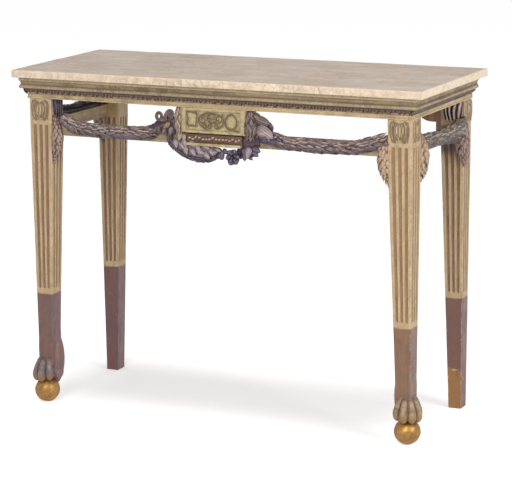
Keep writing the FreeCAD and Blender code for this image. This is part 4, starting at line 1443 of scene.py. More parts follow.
@dataclass
class Leg:
    """A square leg: plain block, fluted shaft and brown lower part, tapering below the rails."""

    node: str
    panel_sides: tuple[Side, ...]
    flute_sides: tuple[Side, ...]
    flute_top: float
    seed: int
    wear: float
    worn_toe: float = 0.0
    # Heights between which the front face is darkened.
    smoke: Plan = (0.0, 0.0)
    flute_radius: float = 0.005
    flute_pitch: float = 0.017
    flute_bottom: float = 0.319
    flute_depth: float = 0.0042
    panel_half: Plan = (0.023, 0.025)
    panel_depth: float = 0.0028
    level_step: float = 0.005
    unevenness: float = 0.00012
    arris_loss: Plan = (0.0005, 0.0011)
    arris_wear: float = 0.0022
    lip: float = 0.0003
    rim_wave: float = 0.0035
    rim_slope: float = 0.005
    rim_fade: float = 0.012
    torn_width: float = 0.0022

    def __post_init__(self) -> None:
        """Read the leg's sections at its top and its foot from the frame."""
        points = node_points(self.node)
        self.bottom, self.top = points[:, 2].min(), points[:, 2].max()
        toe = points[points[:, 2] < self.bottom + TOE_SLICE]
        self.block = np.array([points[:, :2].min(axis=0), points[:, :2].max(axis=0)])
        self.toe = np.array([toe[:, :2].min(axis=0), toe[:, :2].max(axis=0)])
        self.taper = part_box("swag_rail_front")[0].z
        self.panel_level = sum(corner.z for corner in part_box("patera_left_front")) / 2

    def section(self, level: float) -> Array:
        """Give the leg's lowest and highest plan corners at a height."""
        share = min(max((self.taper - level) / (self.taper - self.bottom), 0.0), 1.0)
        return self.block * (1 - share) + self.toe * share

    def columns(self) -> Array:
        """Give the places of the points across a face.

        Returns:
            Shares of its half width at the block.
        """
        half = (self.block[1, 0] - self.block[0, 0]) / 2
        bite = self.flute_radius * np.array([-1.09, -1.0, -0.93, -0.75, -0.4, 0.0, 0.4, 0.75, 0.93, 1.0, 1.09])
        flutes = np.concatenate([centre + bite for centre in (-self.flute_pitch, 0.0, self.flute_pitch)])
        panel = self.panel_half[0] + np.array([0.0002, 0.0008])
        places = np.concatenate([flutes, panel, -panel, [half - 0.0016, 0.0016 - half, -half]])
        return np.unique(np.round(places / half, 5))

    def levels(self) -> Array:
        """Give the heights of the rows of points, closer where flutes and panels end.

        Returns:
            The heights, from the foot up.
        """
        plain = np.arange(self.bottom, self.top, self.level_step)
        ends = [np.arange(-0.0058, 0.0059, 0.0009) + end for end in (self.flute_bottom, self.flute_top)]
        panel = np.array([-0.0006, 0.0001, 0.0006])
        signs = (-1, 1) if self.panel_sides else ()
        edges = [self.panel_level + sign * self.panel_half[1] + panel for sign in signs]
        levels = np.unique(np.concatenate([plain, *ends, *edges, [self.top]]))
        return levels[np.concatenate([[True], np.diff(levels) > 0.0002])]

    def carve(self, side: Side, across: Array, level: float, scale: float) -> tuple[Array, Array]:
        """Work out how deep a face is cut.

        Args:
            side: Side of the leg.
            across: Distances of the points from the middle of the face.
            level: Height of the row.
            scale: Width of the face against the block's.

        Returns:
            The depth and the stain of each point.
        """
        depth = np.zeros_like(across)
        stain = np.zeros_like(across)
        if side in self.flute_sides:
            past = max(level - self.flute_top, self.flute_bottom - level, 0.0)
            for centre in (-self.flute_pitch, 0.0, self.flute_pitch):
                aside = (across - centre * scale) / (self.flute_radius * scale)
                share = np.hypot(aside, past / self.flute_radius)
                cut = np.sqrt(np.maximum(1 - share ** 2, 0))
                depth = np.maximum(depth, cut * self.flute_depth * scale)
                stain = np.maximum(stain, np.clip(cut * 1.5, 0, 1))
        if side in self.panel_sides:
            above = self.panel_half[1] - abs(level - self.panel_level)
            sunk = np.clip(np.minimum(self.panel_half[0] - np.abs(across), above) / self.lip, 0, 1)
            depth = np.maximum(depth, sunk * self.panel_depth)
            stain = np.maximum(stain, sunk * 0.2)
        return depth, stain

    def foot_wear(self, side: Side, level: float, shares: Array, chips: Array) -> tuple[Array, Array]:
        """Work out where the paint is worn off the foot.

        Args:
            side: Side of the leg.
            level: Height of the row.
            shares: Places of the points across the face.
            chips: Unevenness at the points.

        Returns:
            How bare each point is, and how pale the torn edge of the paint.
        """
        front = side is Side.FRONT
        rim = self.worn_toe + self.rim_wave * chips - self.rim_slope * shares
        bare = np.clip((rim - level) / self.rim_fade + 0.5, 0, 1) * (self.worn_toe > 0) * (1.0 if front else 0.2)
        torn = np.exp(-((rim - level - 0.001) / self.torn_width) ** 2) * (self.worn_toe > 0) * front
        flake = np.clip(chips * 2, 0, 1) * (shares < -0.78) * bare
        return bare, np.maximum(torn * (shares > -0.4), flake)

    def build(self, finishes: Finishes) -> None:
        """Build the leg row by row and dress it.

        Args:
            finishes: Materials of the table.
        """
        shares, levels = self.columns(), self.levels()
        chips, uneven = Ripple(0.03, self.seed), Ripple(0.09, self.seed + 1)
        width = self.block[1, 0] - self.block[0, 0]
        rows, relief, stains, toes, darkened = [], [], [], [], []
        for level in levels:
            low, high = self.section(level)
            middle, half = (low + high) / 2, (high - low) / 2
            worn = self.wear if level < self.flute_bottom else max(self.wear, 0.5)
            cloud = np.clip((level - self.smoke[0]) / 0.02, 0, 1) * np.clip((self.smoke[1] - level) / 0.01, 0, 1)
            for side in Side:
                along, out = side.across[:2], side.outward[:2]
                reach = float(np.abs(half @ np.abs(along)))
                across = shares * reach
                depth, stain = self.carve(side, across, level, 2 * reach / width)
                face = middle + out * float(np.abs(half @ np.abs(out)))
                flat = face + across[:, None] * along - depth[:, None] * out
                row = np.column_stack([flat, np.full(len(flat), level)])
                row[:, :2] -= (self.unevenness * (1 + uneven.at(row)))[:, None] * out
                loss = self.arris_loss[0] + self.arris_loss[1] * np.clip(chips.at(row[:1])[0], 0, 1.2)
                row[0, :2] += (along - out) * loss
                edge = np.clip(1 - (1 - np.abs(shares)) * reach / self.arris_wear, 0, 1) * 0.85
                bare, torn = self.foot_wear(side, level, shares, chips.at(row))
                rows.append(row)
                relief.append(np.maximum.reduce([edge * worn, 0.3 * (stain > 0) * (stain < 0.6), torn]))
                stains.append(stain)
                toes.append(bare)
                darkened.append(np.full(len(row), cloud if side is Side.FRONT else 0.0))
        size = len(shares) * len(Side)
        places = np.array(rows).reshape(len(levels), size, 3)
        values = {"relief": np.array(relief), "stain": np.array(stains), "toe": np.array(toes),
                  "smoke": np.array(darkened), "rosy": np.full(places.shape[:2], LEG_TINTS[self.node])}
        piece = new_piece(f"{self.node}_shaft", places, skin_faces(len(levels), size), values, crease=38.0)
        hand_over(piece, finishes.leg, Slot.PAINT, self.node)


@dataclass(frozen=True)
class Boss:
    """An oval swelling of a relief with a groove round it, in shares of the panel's half sizes."""

    place: Plan
    radii: Plan
    height: float
    turn: float = 0.0
    rib: float = 0.0
    tone: float = 0.0

    def carve(self, x: Array, z: Array) -> tuple[Array, Array]:
        """Carve the mark into a panel.

        Args:
            x: Places across the panel.
            z: Places up the panel.

        Returns:
            The height and the stain at each place.
        """
        angle = math.radians(self.turn)
        along, up = x - self.place[0], z - self.place[1]
        across = (along * math.cos(angle) + up * math.sin(angle)) / self.radii[0]
        upward = (up * math.cos(angle) - along * math.sin(angle)) / self.radii[1]
        far = np.hypot(across, upward)
        swell = np.sqrt(np.maximum(1 - far ** 2, 0))
        groove = np.exp(-((far - 1.08) / 0.22) ** 2)
        rib = self.rib * np.exp(-(across / 0.22) ** 2) * (far < 0.85)
        return self.height * (swell - 0.35 * rib), np.maximum.reduce([groove, rib, self.tone * (far < 1)])


@dataclass(frozen=True)
class Scroll:
    """A raised line of a relief with grooves beside it, in shares of the panel's half sizes."""

    points: tuple[Plan, ...]
    width: float
    height: float
    aspect: float = 1.0

    def carve(self, x: Array, z: Array) -> tuple[Array, Array]:
        """Carve the mark into a panel.

        Args:
            x: Places across the panel.
            z: Places up the panel.

        Returns:
            The height and the stain at each place.
        """
        near = np.full(x.shape, np.inf)
        for (x0, z0), (x1, z1) in zip(self.points, self.points[1:]):
            run, rise = (x1 - x0) * self.aspect, z1 - z0
            share = ((x - x0) * self.aspect * run + (z - z0) * rise) / max(run * run + rise * rise, 1e-9)
            share = np.clip(share, 0, 1)
            near = np.minimum(near, np.hypot((x - x0) * self.aspect - share * run, z - z0 - share * rise))
        swell = np.sqrt(np.maximum(1 - (near / self.width) ** 2, 0))
        return self.height * swell, np.exp(-(near / self.width / 0.68) ** 4)


def ellipse(centre: Plan, radii: Plan, angles: Array) -> tuple[Plan, ...]:
    """Give points on an ellipse at some angles."""
    return tuple((centre[0] + radii[0] * math.cos(a), centre[1] + radii[1] * math.sin(a)) for a in angles)


def spiral(centre: Plan, start: float, end: float, turns: float, first: float,
           aspect: float = 1.0) -> tuple[Plan, ...]:
    """Draw the line of a volute.

    Args:
        centre: Its eye.
        start: Radius at the start.
        end: Radius at the end.
        turns: Turns, negative for the other way round.
        first: Angle of the start in degrees.
        aspect: Panel's half width over its half height.

    Returns:
        Points of the line.
    """
    share = np.linspace(0, 1, max(10, round(abs(turns) * 22)))
    angle = math.radians(first) + share * turns * math.tau
    radius = start + (end - start) * share
    return tuple((centre[0] + r * math.cos(a) / aspect, centre[1] + r * math.sin(a))
                 for r, a in zip(radius, angle))


@dataclass
class Relief:
    """A carved panel that faces one side of the table."""

    side: Side
    box: tuple[Vector, Vector]
    marks: tuple[Boss | Scroll, ...]
    height: float
    rows: int = 72
    grow: Plan = (1.0, 1.0)

    def build(self, name: str, material: Material, *nodes: str) -> None:
        """Build the panel over its box and dress it.

        Args:
            name: Name of the piece.
            material: Its material.
            nodes: CAD node that it replaces, if any.
        """
        base, wide, thick = seat(self.box, self.side)
        along, out = self.side.across, self.side.outward
        half = self.grow[0] * wide, self.grow[1] * (self.box[1].z - self.box[0].z) / 2
        columns = round(self.rows * half[0] / half[1])
        x, z = np.meshgrid(np.linspace(-1, 1, columns), np.linspace(-1, 1, self.rows))
        height, stain = np.zeros_like(x), np.zeros_like(x)
        for mark in self.marks:
            more, darker = mark.carve(x, z)
            mixed = np.maximum(stain, darker * (height < 0.6))
            stain = np.where(more > height + 0.15 * self.height, darker, mixed)
            height = np.maximum(height, more)
        flat = base + x[..., None] * half[0] * along + z[..., None] * half[1] * np.array([0, 0, 1.0])
        front = flat + ((thick - self.height) + np.clip(height, 0, 1) * self.height)[..., None] * out
        values = {"stain": np.concatenate([np.clip(stain, 0, 0.9).ravel(), np.full(stain.size, 0.5)])}
        places = np.concatenate([front, flat])
        piece = new_piece(name, places, plate_faces(self.rows, columns), values, crease=55.0)
        store_relief(piece, reach=0.0005, rounds=4)
        hand_over(piece, material, Slot.PAINT, *nodes)


@dataclass
class Paterae:
    """The carved ornaments on the leg blocks: in the sunk panels in front, planted on the back legs' outer faces."""

    height: float = 0.0036
    grow: Plan = (1.36, 1.24)
    bedded: float = 0.0008
    bracket: tuple[Plan, ...] = ((0.5, 0.95), (0.78, 0.82), (0.86, 0.4), (0.84, -0.2), (0.72, -0.6))
    loop: tuple[Plan, ...] = ((0.12, 0.72), (0.34, 0.82), (0.5, 0.45), (0.5, -0.1), (0.36, -0.45), (0.14, -0.55))

    def marks(self) -> tuple[Boss | Scroll, ...]:
        """Give the carving: an upright leaf between tall loops and brackets, with volutes below.

        Returns:
            Its marks.
        """
        marks = [Boss((0.0, 0.1), (0.1, 0.62), 1.0, rib=0.5), Boss((0.0, 0.86), (0.18, 0.1), 0.7)]
        for hand in (-1, 1):
            bracket, loop = (tuple((hand * x, z) for x, z in line) for line in (self.bracket, self.loop))
            volute = spiral((hand * 0.42, -0.76), 0.2, 0.06, -1.1 * hand, 90 + 40 * hand)
            marks += [Scroll(bracket, 0.12, 0.9), Scroll(loop, 0.115, 1.0),
                      Boss((hand * 0.3, 0.16), (0.1, 0.4), 0.55), Scroll(volute, 0.09, 0.9)]
        return tuple(marks)

    def build(self, finishes: Finishes) -> None:
        """Build all six.

        Args:
            finishes: Materials of the table.
        """
        for hand, outer in (("left", Side.LEFT), ("right", Side.RIGHT)):
            for face, side in (("front", Side.FRONT), ("side", outer)):
                node = f"patera_{hand}_{face}"
                panel = Relief(side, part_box(node), self.marks(), self.height, grow=self.grow)
                panel.build(f"{node}_carved", finishes.painted["patera"], node)
            low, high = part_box(f"patera_{hand}_side")
            leg_low, leg_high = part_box(f"leg_back_{hand}")
            move_x = leg_high.x - low.x - self.bedded if hand == "right" else leg_low.x - high.x + self.bedded
            move = Vector((move_x, (leg_low.y + leg_high.y - low.y - high.y) / 2, 0.0))
            panel = Relief(outer, (low + move, high + move), self.marks(), self.height, grow=self.grow)
            panel.build(f"patera_{hand}_back_carved", finishes.painted["patera"])


@dataclass
class Tablet:
    """The carved block at the middle of the front, with its leaf strip and the fillet below."""

    height: float = 0.0034
    border: float = 0.0012
    lip: float = 0.0003
    rounding: float = 0.0008
    near: float = 0.0005
    aspect: float = 3.1
    strip_set: float = 0.003
    strip_pitch: float = 0.0088
    strip_leaf: Leaf = Leaf("strip_leaf", 0.0125, 0.0132, 0.0056, lift=0.0005)

    def marks(self) -> tuple[Boss | Scroll, ...]:
        """Give the carving: a rosette and leaf scrolls in a wide oval, between a square and an oval outline.

        Returns:
            Its marks.
        """
        square = ((-0.6, 0.95), (-0.66, 0.78), (-0.78, 0.88), (-0.94, 0.92), (-0.95, 0.6), (-0.9, 0.1), (-0.95, -0.4),
                  (-0.9, -0.62), (-0.75, -0.55), (-0.62, -0.62), (-0.62, -0.2), (-0.58, 0.5), (-0.6, 0.95))
        oval = ellipse((0.68, 0.03), (0.2, 0.78), np.linspace(0, math.tau, 33))
        wide = ellipse((-0.06, 0.0), (0.46, 0.88), np.radians(np.linspace(-62, 246, 40)))
        stalk = ((0.36, 0.75), (0.43, 0.1), (0.47, -0.45), (0.56, -0.75), (0.8, -0.85), (0.96, -1.0))
        volutes = ((-0.36, 0.12, 0.5, 0.12, 1.3, 60), (-0.3, -0.55, 0.34, 0.1, -1.1, 150),
                   (-0.1, -0.62, 0.28, 0.1, 1.0, 30), (0.12, -0.52, 0.34, 0.1, -1.1, 120),
                   (0.22, 0.3, 0.44, 0.16, 1.0, -110))
        rosette = (-0.05, 0.26)
        turns = np.linspace(0, math.tau, 6, endpoint=False) + 0.5
        petals = (Boss(place, (0.055, 0.17), 0.95, math.degrees(turn) - 90, rib=0.8, tone=0.4)
                  for place, turn in zip(ellipse(rosette, (0.085, 0.27), turns), turns))
        scrolls = (Scroll(spiral((x, z), *turns, self.aspect), 0.1, 0.85, self.aspect) for x, z, *turns in volutes)
        return (Scroll(square, 0.11, 0.85, self.aspect), Scroll(wide, 0.12, 0.9, self.aspect), *scrolls,
                Boss(rosette, (0.155, 0.47), 0.3, tone=0.7), *petals, Boss(rosette, (0.045, 0.14), 1.0, tone=0.75),
                Scroll(oval, 0.11, 0.85, self.aspect), Scroll(stalk, 0.1, 0.8, self.aspect))

    def prism(self, name: str, outline: Sequence[Plan], low: float, high: float, soften: float) -> Piece:
        """Build an upright block with softened edges.

        Args:
            name: Name of the piece.
            outline: Plan of the block.
            low: Height of its underside.
            high: Height of its top.
            soften: Width of the worn edges.

        Returns:
            The block.
        """
        mesh = bpy.data.meshes.new(name)
        shell = bmesh.new()
        floor = shell.faces.new([shell.verts.new((*place, low)) for place in outline])
        lifted = bmesh.ops.extrude_face_region(shell, geom=[floor])["geom"]
        bmesh.ops.translate(shell, verts=[part for part in lifted if isinstance(part, bmesh.types.BMVert)],
                            vec=(0, 0, high - low))
        bmesh.ops.bevel(shell, geom=shell.edges[:], offset=soften, segments=2, affect="EDGES", profile=0.5)
        bmesh.ops.subdivide_edges(shell, edges=shell.edges[:], cuts=3, use_grid_fill=True)
        bmesh.ops.recalc_face_normals(shell, faces=shell.faces)
        shell.to_mesh(mesh)
        shell.free()
        mesh.shade_smooth()
        mesh.set_sharp_from_angle(angle=math.radians(35))
        piece = linked(name, mesh)
        store_relief(piece, reach=0.0008, rounds=2)
        return piece

    def cuts(self, edges: Spot, count: int) -> Array:
        """Give the places of the points over the block's face, closer at its rim and round the sunk panel.

        Args:
            edges: Edge of the face, both edges of the panel and the other edge of the face.
            count: Evenly set points.

        Returns:
            The places.
        """
        first, low, high, last = edges
        soft, lip = self.border, self.lip
        near_panel = (low - soft, low, low + lip, high - lip, high, high + soft)
        even = np.linspace(first + soft, last - soft, count)
        return np.unique(np.concatenate([[first, *near_panel, last], even]))

    def build_block(self, finishes: Finishes) -> None:
        """Build the block as a back and a border that stands round the sunk panel.

        Args:
            finishes: Materials of the table.
        """
        low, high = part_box("tablet_block")
        inner_low, inner_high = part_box("tablet_carving")
        points = node_points("tablet_block")
        front = points[points[:, 1] < low.y + self.near]
        shoulder = points[np.abs(points[:, 0] - low.x) < self.near][:, 1].min()
        x = (front[:, 0].min(), inner_low.x, inner_high.x, front[:, 0].max())
        z = (low.z, inner_low.z, inner_high.z, high.z)
        across, up = np.meshgrid(self.cuts(x, 60), self.cuts(z, 24))
        inside = np.minimum.reduce([across - x[1], x[2] - across, up - z[1], z[2] - up])
        rim = np.minimum.reduce([across - x[0], x[3] - across, up - z[0], z[3] - up])
        deep = np.clip(inside / self.lip, 0, 1) * (inner_high.y - low.y)
        deep = deep + np.clip(1 - np.abs(inside / self.border), 0, 1) * (inside <= 0) * self.rounding
        deep = deep + np.clip(1 - rim / self.border, 0, 1) ** 2 * self.rounding
        stain = np.clip(np.exp(-((inside - 0.0008) / 0.0016) ** 2), 0, 1) * 0.9
        places = np.dstack([across, low.y + deep, up]).reshape(-1, 3)
        back = ((low.x, shoulder), (low.x, high.y), (high.x, high.y), (high.x, shoulder))
        extra = [(*corner, level) for level in (low.z, high.z) for corner in back]
        grid, count = np.arange(len(places)).reshape(across.shape), len(places)
        foot, head = range(count, count + 4), range(count + 4, count + 8)
        faces = grid_faces(*across.shape) + [
            (*grid[:, 0].tolist(), head[0], foot[0]), (*grid[::-1, -1].tolist(), foot[3], head[3]),
            (*grid[0, ::-1].tolist(), *foot), (*grid[-1].tolist(), *head[::-1]),
            (foot[0], head[0], head[1], foot[1]), (foot[3], foot[2], head[2], head[3]),
            (foot[1], head[1], head[2], foot[2])]
        values = {"stain": np.concatenate([stain.ravel(), np.zeros(len(extra))])}
        piece = new_piece("tablet_body", np.vstack([places, extra]), faces, values, crease=30.0)
        hand_over(piece, finishes.painted["tablet"], Slot.PAINT, "tablet_block")

    def build_strip(self, finishes: Finishes) -> None:
        """Build the leaf strip: a dark ground with a row of slanting leaves.

        Args:
            finishes: Materials of the table.
        """
        low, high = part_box("tablet_leaf_strip")
        front, bronze = low.y + self.strip_set, finishes.bronzed["strip"]
        outline = [(low.x, high.y), (low.x, front), (high.x, front), (high.x, high.y)]
        ground = self.prism("strip_ground", outline, low.z, high.z, 0.001)
        store(ground.data, "relief", np.full(len(ground.data.vertices), HOLLOW))
        leaf = self.strip_leaf.make()
        level = (low.z + high.z) / 2 - 0.001
        ends = np.array([(x, front + 0.0006, level) for x in (low.x + 0.004, high.x - 0.012)])
        piece = leaf_row_tree().run("strip_carved", Path(ends, 0.001), Leaf=leaf, Ground=ground,
                                    Step=self.strip_pitch, Along=(0.86, 0.0, 0.32), Outward=(0.0, -1.0, 0.12),
                                    Twist=0.45, Lowest=0.8, Highest=1.0, Seed=8, Material=bronze)
        drop_piece(leaf)
        drop_piece(ground)
        hand_over(piece, bronze, Slot.CARVING, "tablet_leaf_strip")

    def build(self, finishes: Finishes) -> None:
        """Build the block, its carving, the strip and the fillet.

        Args:
            finishes: Materials of the table.
        """
        self.build_block(finishes)
        panel = Relief(Side.FRONT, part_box("tablet_carving"), self.marks(), self.height, rows=90)
        panel.build("tablet_scrolls", finishes.painted["tablet"], "tablet_carving")
        self.build_strip(finishes)
        low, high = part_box("tablet_base")
        outline = [(low.x, high.y), (low.x, low.y), (high.x, low.y), (high.x, high.y)]
        fillet = self.prism("tablet_fillet", outline, low.z, high.z, 0.0012)
        hand_over(fillet, finishes.painted["tablet"], Slot.PAINT, "tablet_base")


@dataclass
class Garlands:
    """Laurel garlands on the rails, and the leaf drops at their ends."""

    laurel: Leaf = Leaf("laurel_leaf", 0.0265, 0.0138, 0.0038, lift=0.002)
    scale_leaf: Leaf = Leaf("scale_leaf", 0.02, 0.0125, 0.003, lift=0.0006)
    half_height: float = 0.0112
    half_drop: float = 0.0138
    drop_fall: float = 0.041
    off_rail: float = 0.0055
    left_line: tuple[Plan, ...] = ((-0.447, 0.777), (-0.43, 0.768), (-0.407, 0.757), (-0.333, 0.7475),
                                   (-0.245, 0.747), (-0.2, 0.75), (-0.176, 0.7555))
    right_line: tuple[Plan, ...] = ((0.137, 0.76), (0.165, 0.7545), (0.2, 0.7485), (0.25, 0.7455),
                                    (0.31, 0.7445), (0.37, 0.747), (0.42, 0.757), (0.447, 0.766))
    end_line: tuple[Spot, ...] = ((-0.132, 0.7625, 0.011), (-0.084, 0.757, 0.0112), (-0.006, 0.7505, 0.0125),
                                  (0.066, 0.749, 0.0155), (0.112, 0.7475, 0.0178), (0.132, 0.75, 0.015),
                                  (0.145, 0.755, 0.009))
    left_rise: float = 0.012
    left_taper: float = 0.55

    def build_swag(self, node: str, path: Path, side: Side, seed: int, material: Material) -> None:
        """Build one garland.

        Args:
            node: CAD node that it replaces.
            path: Line of its middle.
            side: Side of the table that it faces.
            seed: Seed of its leaves.
            material: Its material.
        """
        piece = self.tree.run(f"{node}_leaves", path, Leaf=self.leaf, Step=0.0098, Rows=7, Arc=math.radians(236),
                              Front=tuple(side.outward), Depth=0.75, Lean=0.16, Twist=0.32, Smallest=0.6,
                              Full_Radius=self.half_height, Core=1.02, Seed=seed, Material=material)
        hand_over(piece, material, Slot.CARVING, node)

    def build_drop(self, node: str, side: Side, size: float, aside: float, seed: int, material: Material) -> None:
        """Build one hanging drop of leaf scales.

        Args:
            node: CAD node that it replaces.
            side: Side that its leg face looks to.
            size: Its fullness.
            aside: How far it hangs out to the right.
            seed: Seed of its leaves.
            material: Its material.
        """
        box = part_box(node)
        face, _, _ = seat(box, side)
        share = np.linspace(0, 1, 30)
        radii = size * self.half_drop * np.maximum(np.sin(math.pi * np.clip(share ** 0.8, 0, 1)), 0) ** 0.6
        radii = np.maximum(radii, 0.1 * self.half_drop)
        line = face + side.outward * (radii * 0.9)[:, None] + aside * Side.RIGHT.outward
        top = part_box("fascia_front")[0].z - self.drop_fall
        line[:, 2] = top + (box[0].z + 0.006 - top) * share
        piece = self.tree.run(f"{node}_leaves", Path(line, radii), Leaf=self.scale, Step=0.0088, Rows=7, Arc=math.tau,
                              Front=tuple(side.outward), Depth=1.0, Lean=0.12, Twist=0.2, Smallest=0.55,
                              Full_Radius=self.half_drop, Core=0.97, Seed=seed, Material=material)
        hand_over(piece, material, Slot.CARVING, node)

    def build(self, finishes: Finishes, tree: GeometryTree) -> None:
        """Build every garland and drop.

        Args:
            finishes: Materials of the table.
            tree: Tree that lays leaves along a line.
        """
        self.tree, self.leaf, self.scale = tree, self.laurel.make(), self.scale_leaf.make()
        bronzed = finishes.bronzed
        front_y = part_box("swag_rail_front")[0].y - self.off_rail
        fronts = (("left", self.left_line, self.left_taper), ("right", self.right_line, 1.0))
        for seed, (hand, line, taper) in enumerate(fronts):
            radii = [self.half_height] * (len(line) - 1) + [self.half_height * taper]
            path = Path.through([(x, front_y, z) for x, z in line], radii)
            self.build_swag(f"garland_front_{hand}", path, Side.FRONT, 11 + seed, bronzed["laurel"])
        # The left end garland takes the dark festoon finish as painted shade, since it is seen in shadow inside the
        # frame.
        ends = ((Side.LEFT, self.left_rise, "festoon"), (Side.RIGHT, 0.0, "silver"))
        for seed, (side, rise, finish) in enumerate(ends):
            low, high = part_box(f"swag_rail_{side.name.lower()}")
            x = low.x - self.off_rail if side is Side.LEFT else high.x + self.off_rail
            path = Path.through([(x, y, z + rise) for y, z, _ in self.end_line], [stop[2] for stop in self.end_line])
            self.build_swag(f"garland_{side.name.lower()}", path, side, 21 + seed, bronzed[finish])
        drops = {"front_left": (Side.RIGHT, 0.93, 0.0, "brown_drop"), "front_right": (Side.LEFT, 1.0, 0.0, "drop"),
                 "left_fore": (Side.BACK, 1.0, 0.0, "drop"), "right_fore": (Side.BACK, 1.2, 0.0035, "drop"),
                 "left_aft": (Side.FRONT, 1.0, 0.0, "brown_drop"),
                 "right_aft": (Side.FRONT, 1.1, 0.012, "brown_drop")}
        for seed, (place, (side, size, aside, finish)) in enumerate(drops.items()):
            self.build_drop(f"drop_{place}", side, size, aside, 31 + seed, bronzed[finish])
        drop_piece(self.leaf)
        drop_piece(self.scale)


@dataclass
class Ribbons:
    """Pleated ribbons on the leg faces, above the ends of the garlands."""

    pleats: float = 4.6
    rows: int = 40
    columns: int = 56
    gather: float = 0.2

    def build_one(self, node: str, side: Side, seed: int, shade: float, fullness: float,
                  material: Material) -> None:
        """Build one ribbon.

        Args:
            node: CAD node that it replaces.
            side: Side that its leg face looks to.
            seed: Seed of its folds.
            shade: How much darker its crests are.
            fullness: Share of the node's depth that its folds take.
            material: Its material.
        """
        low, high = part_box(node)
        back, half, deep = seat((low, high), side)
        chance = np.random.default_rng(seed)
        x, t = np.meshgrid(np.linspace(-1, 1, self.columns), np.linspace(0, 1, self.rows))
        lean = 0.16 * np.sin(math.pi * t) * chance.choice((-1, 1))
        phase = x * self.pleats * math.pi + 1.1 * t * x + chance.uniform(0, math.tau)
        crest = 0.5 + 0.5 * np.cos(phase + 0.5 * np.sin(3 * t))
        fold = crest ** 0.8 * (0.7 + 0.3 * t)
        rounding = np.sqrt(np.maximum(1 - np.abs(x) ** 3.5, 0))
        bulge = 0.42 + 0.5 * np.sin(math.pi * np.clip(0.15 + 0.75 * t, 0, 1))
        depth = deep * fullness * np.clip(bulge * rounding * (0.45 + 0.55 * fold), 0.03, 1)
        wide = half * (1 - self.gather * t ** 1.4)
        flat = back + ((x + lean * (1 - np.abs(x))) * wide)[..., None] * side.across
        flat[..., 2] = np.maximum(high.z - t * (high.z - low.z) - 0.003 * (1 - fold) * t, low.z)
        front = flat + depth[..., None] * side.outward
        crests = np.clip(crest * 3.2 - 1.5 - shade, -1.2, 1.2)
        values = {"relief": np.concatenate([crests.ravel(), np.full(crests.size, -1.0)])}
        faces = plate_faces(self.rows, self.columns)
        piece = new_piece(f"{node}_pleats", np.concatenate([front, flat]), faces, values, crease=60.0)
        hand_over(piece, material, Slot.CARVING, node)

    def build(self, finishes: Finishes) -> None:
        """Build all six.

        Args:
            finishes: Materials of the table.
        """
        fronts = {"front_left": Side.RIGHT, "front_right": Side.LEFT, "left_fore": Side.BACK, "right_fore": Side.BACK,
                  "left_aft": Side.FRONT, "right_aft": Side.FRONT}
        shades = {"front_left": 1.2}
        fullness = {"front_left": 0.7, "front_right": 0.35}
        for seed, (place, side) in enumerate(fronts.items()):
            self.build_one(f"ribbon_{place}", side, 51 + seed, shades.get(place, 0.0), fullness.get(place, 1.0),
                           finishes.bronzed["ribbon"])


BROAD_LEAF = Leaf("broad_leaf", 0.034, 0.021, 0.0048, lift=0.002, bluntness=0.75, fullness=0.7, along=9, across=7)
RIBBED_LEAF = Leaf("ribbed_leaf", 0.05, 0.026, 0.0045, lift=0.001, bluntness=0.85, fullness=0.4, ribs=4, along=9,
                   across=17)
SMALL_LEAF = Leaf("small_leaf", 0.0125, 0.0068, 0.002, lift=0.0006)
PETAL = Leaf("petal", 0.0175, 0.0165, 0.0042, lift=0.0015, bluntness=1.25, fullness=0.65, along=7, across=7)


def petal_ring(centre: Plan, count: int, first: float, size: float) -> tuple[Spot, ...]:
    """Set petals round a flower's middle.

    Args:
        centre: Middle of the flower.
        count: Petals in the ring.
        first: Turn of the first petal in degrees.
        size: Size of the petals; those that point up and down are longer.

    Returns:
        Place across, height, turn and size of each petal.
    """
    turns = first + np.arange(count) * 360 / count
    places = ellipse(centre, (0.003, 0.003), np.radians(turns))
    return tuple((*place, turn, size * (1 + 0.16 * math.sin(math.radians(turn)) ** 2))
                 for place, turn in zip(places, turns))


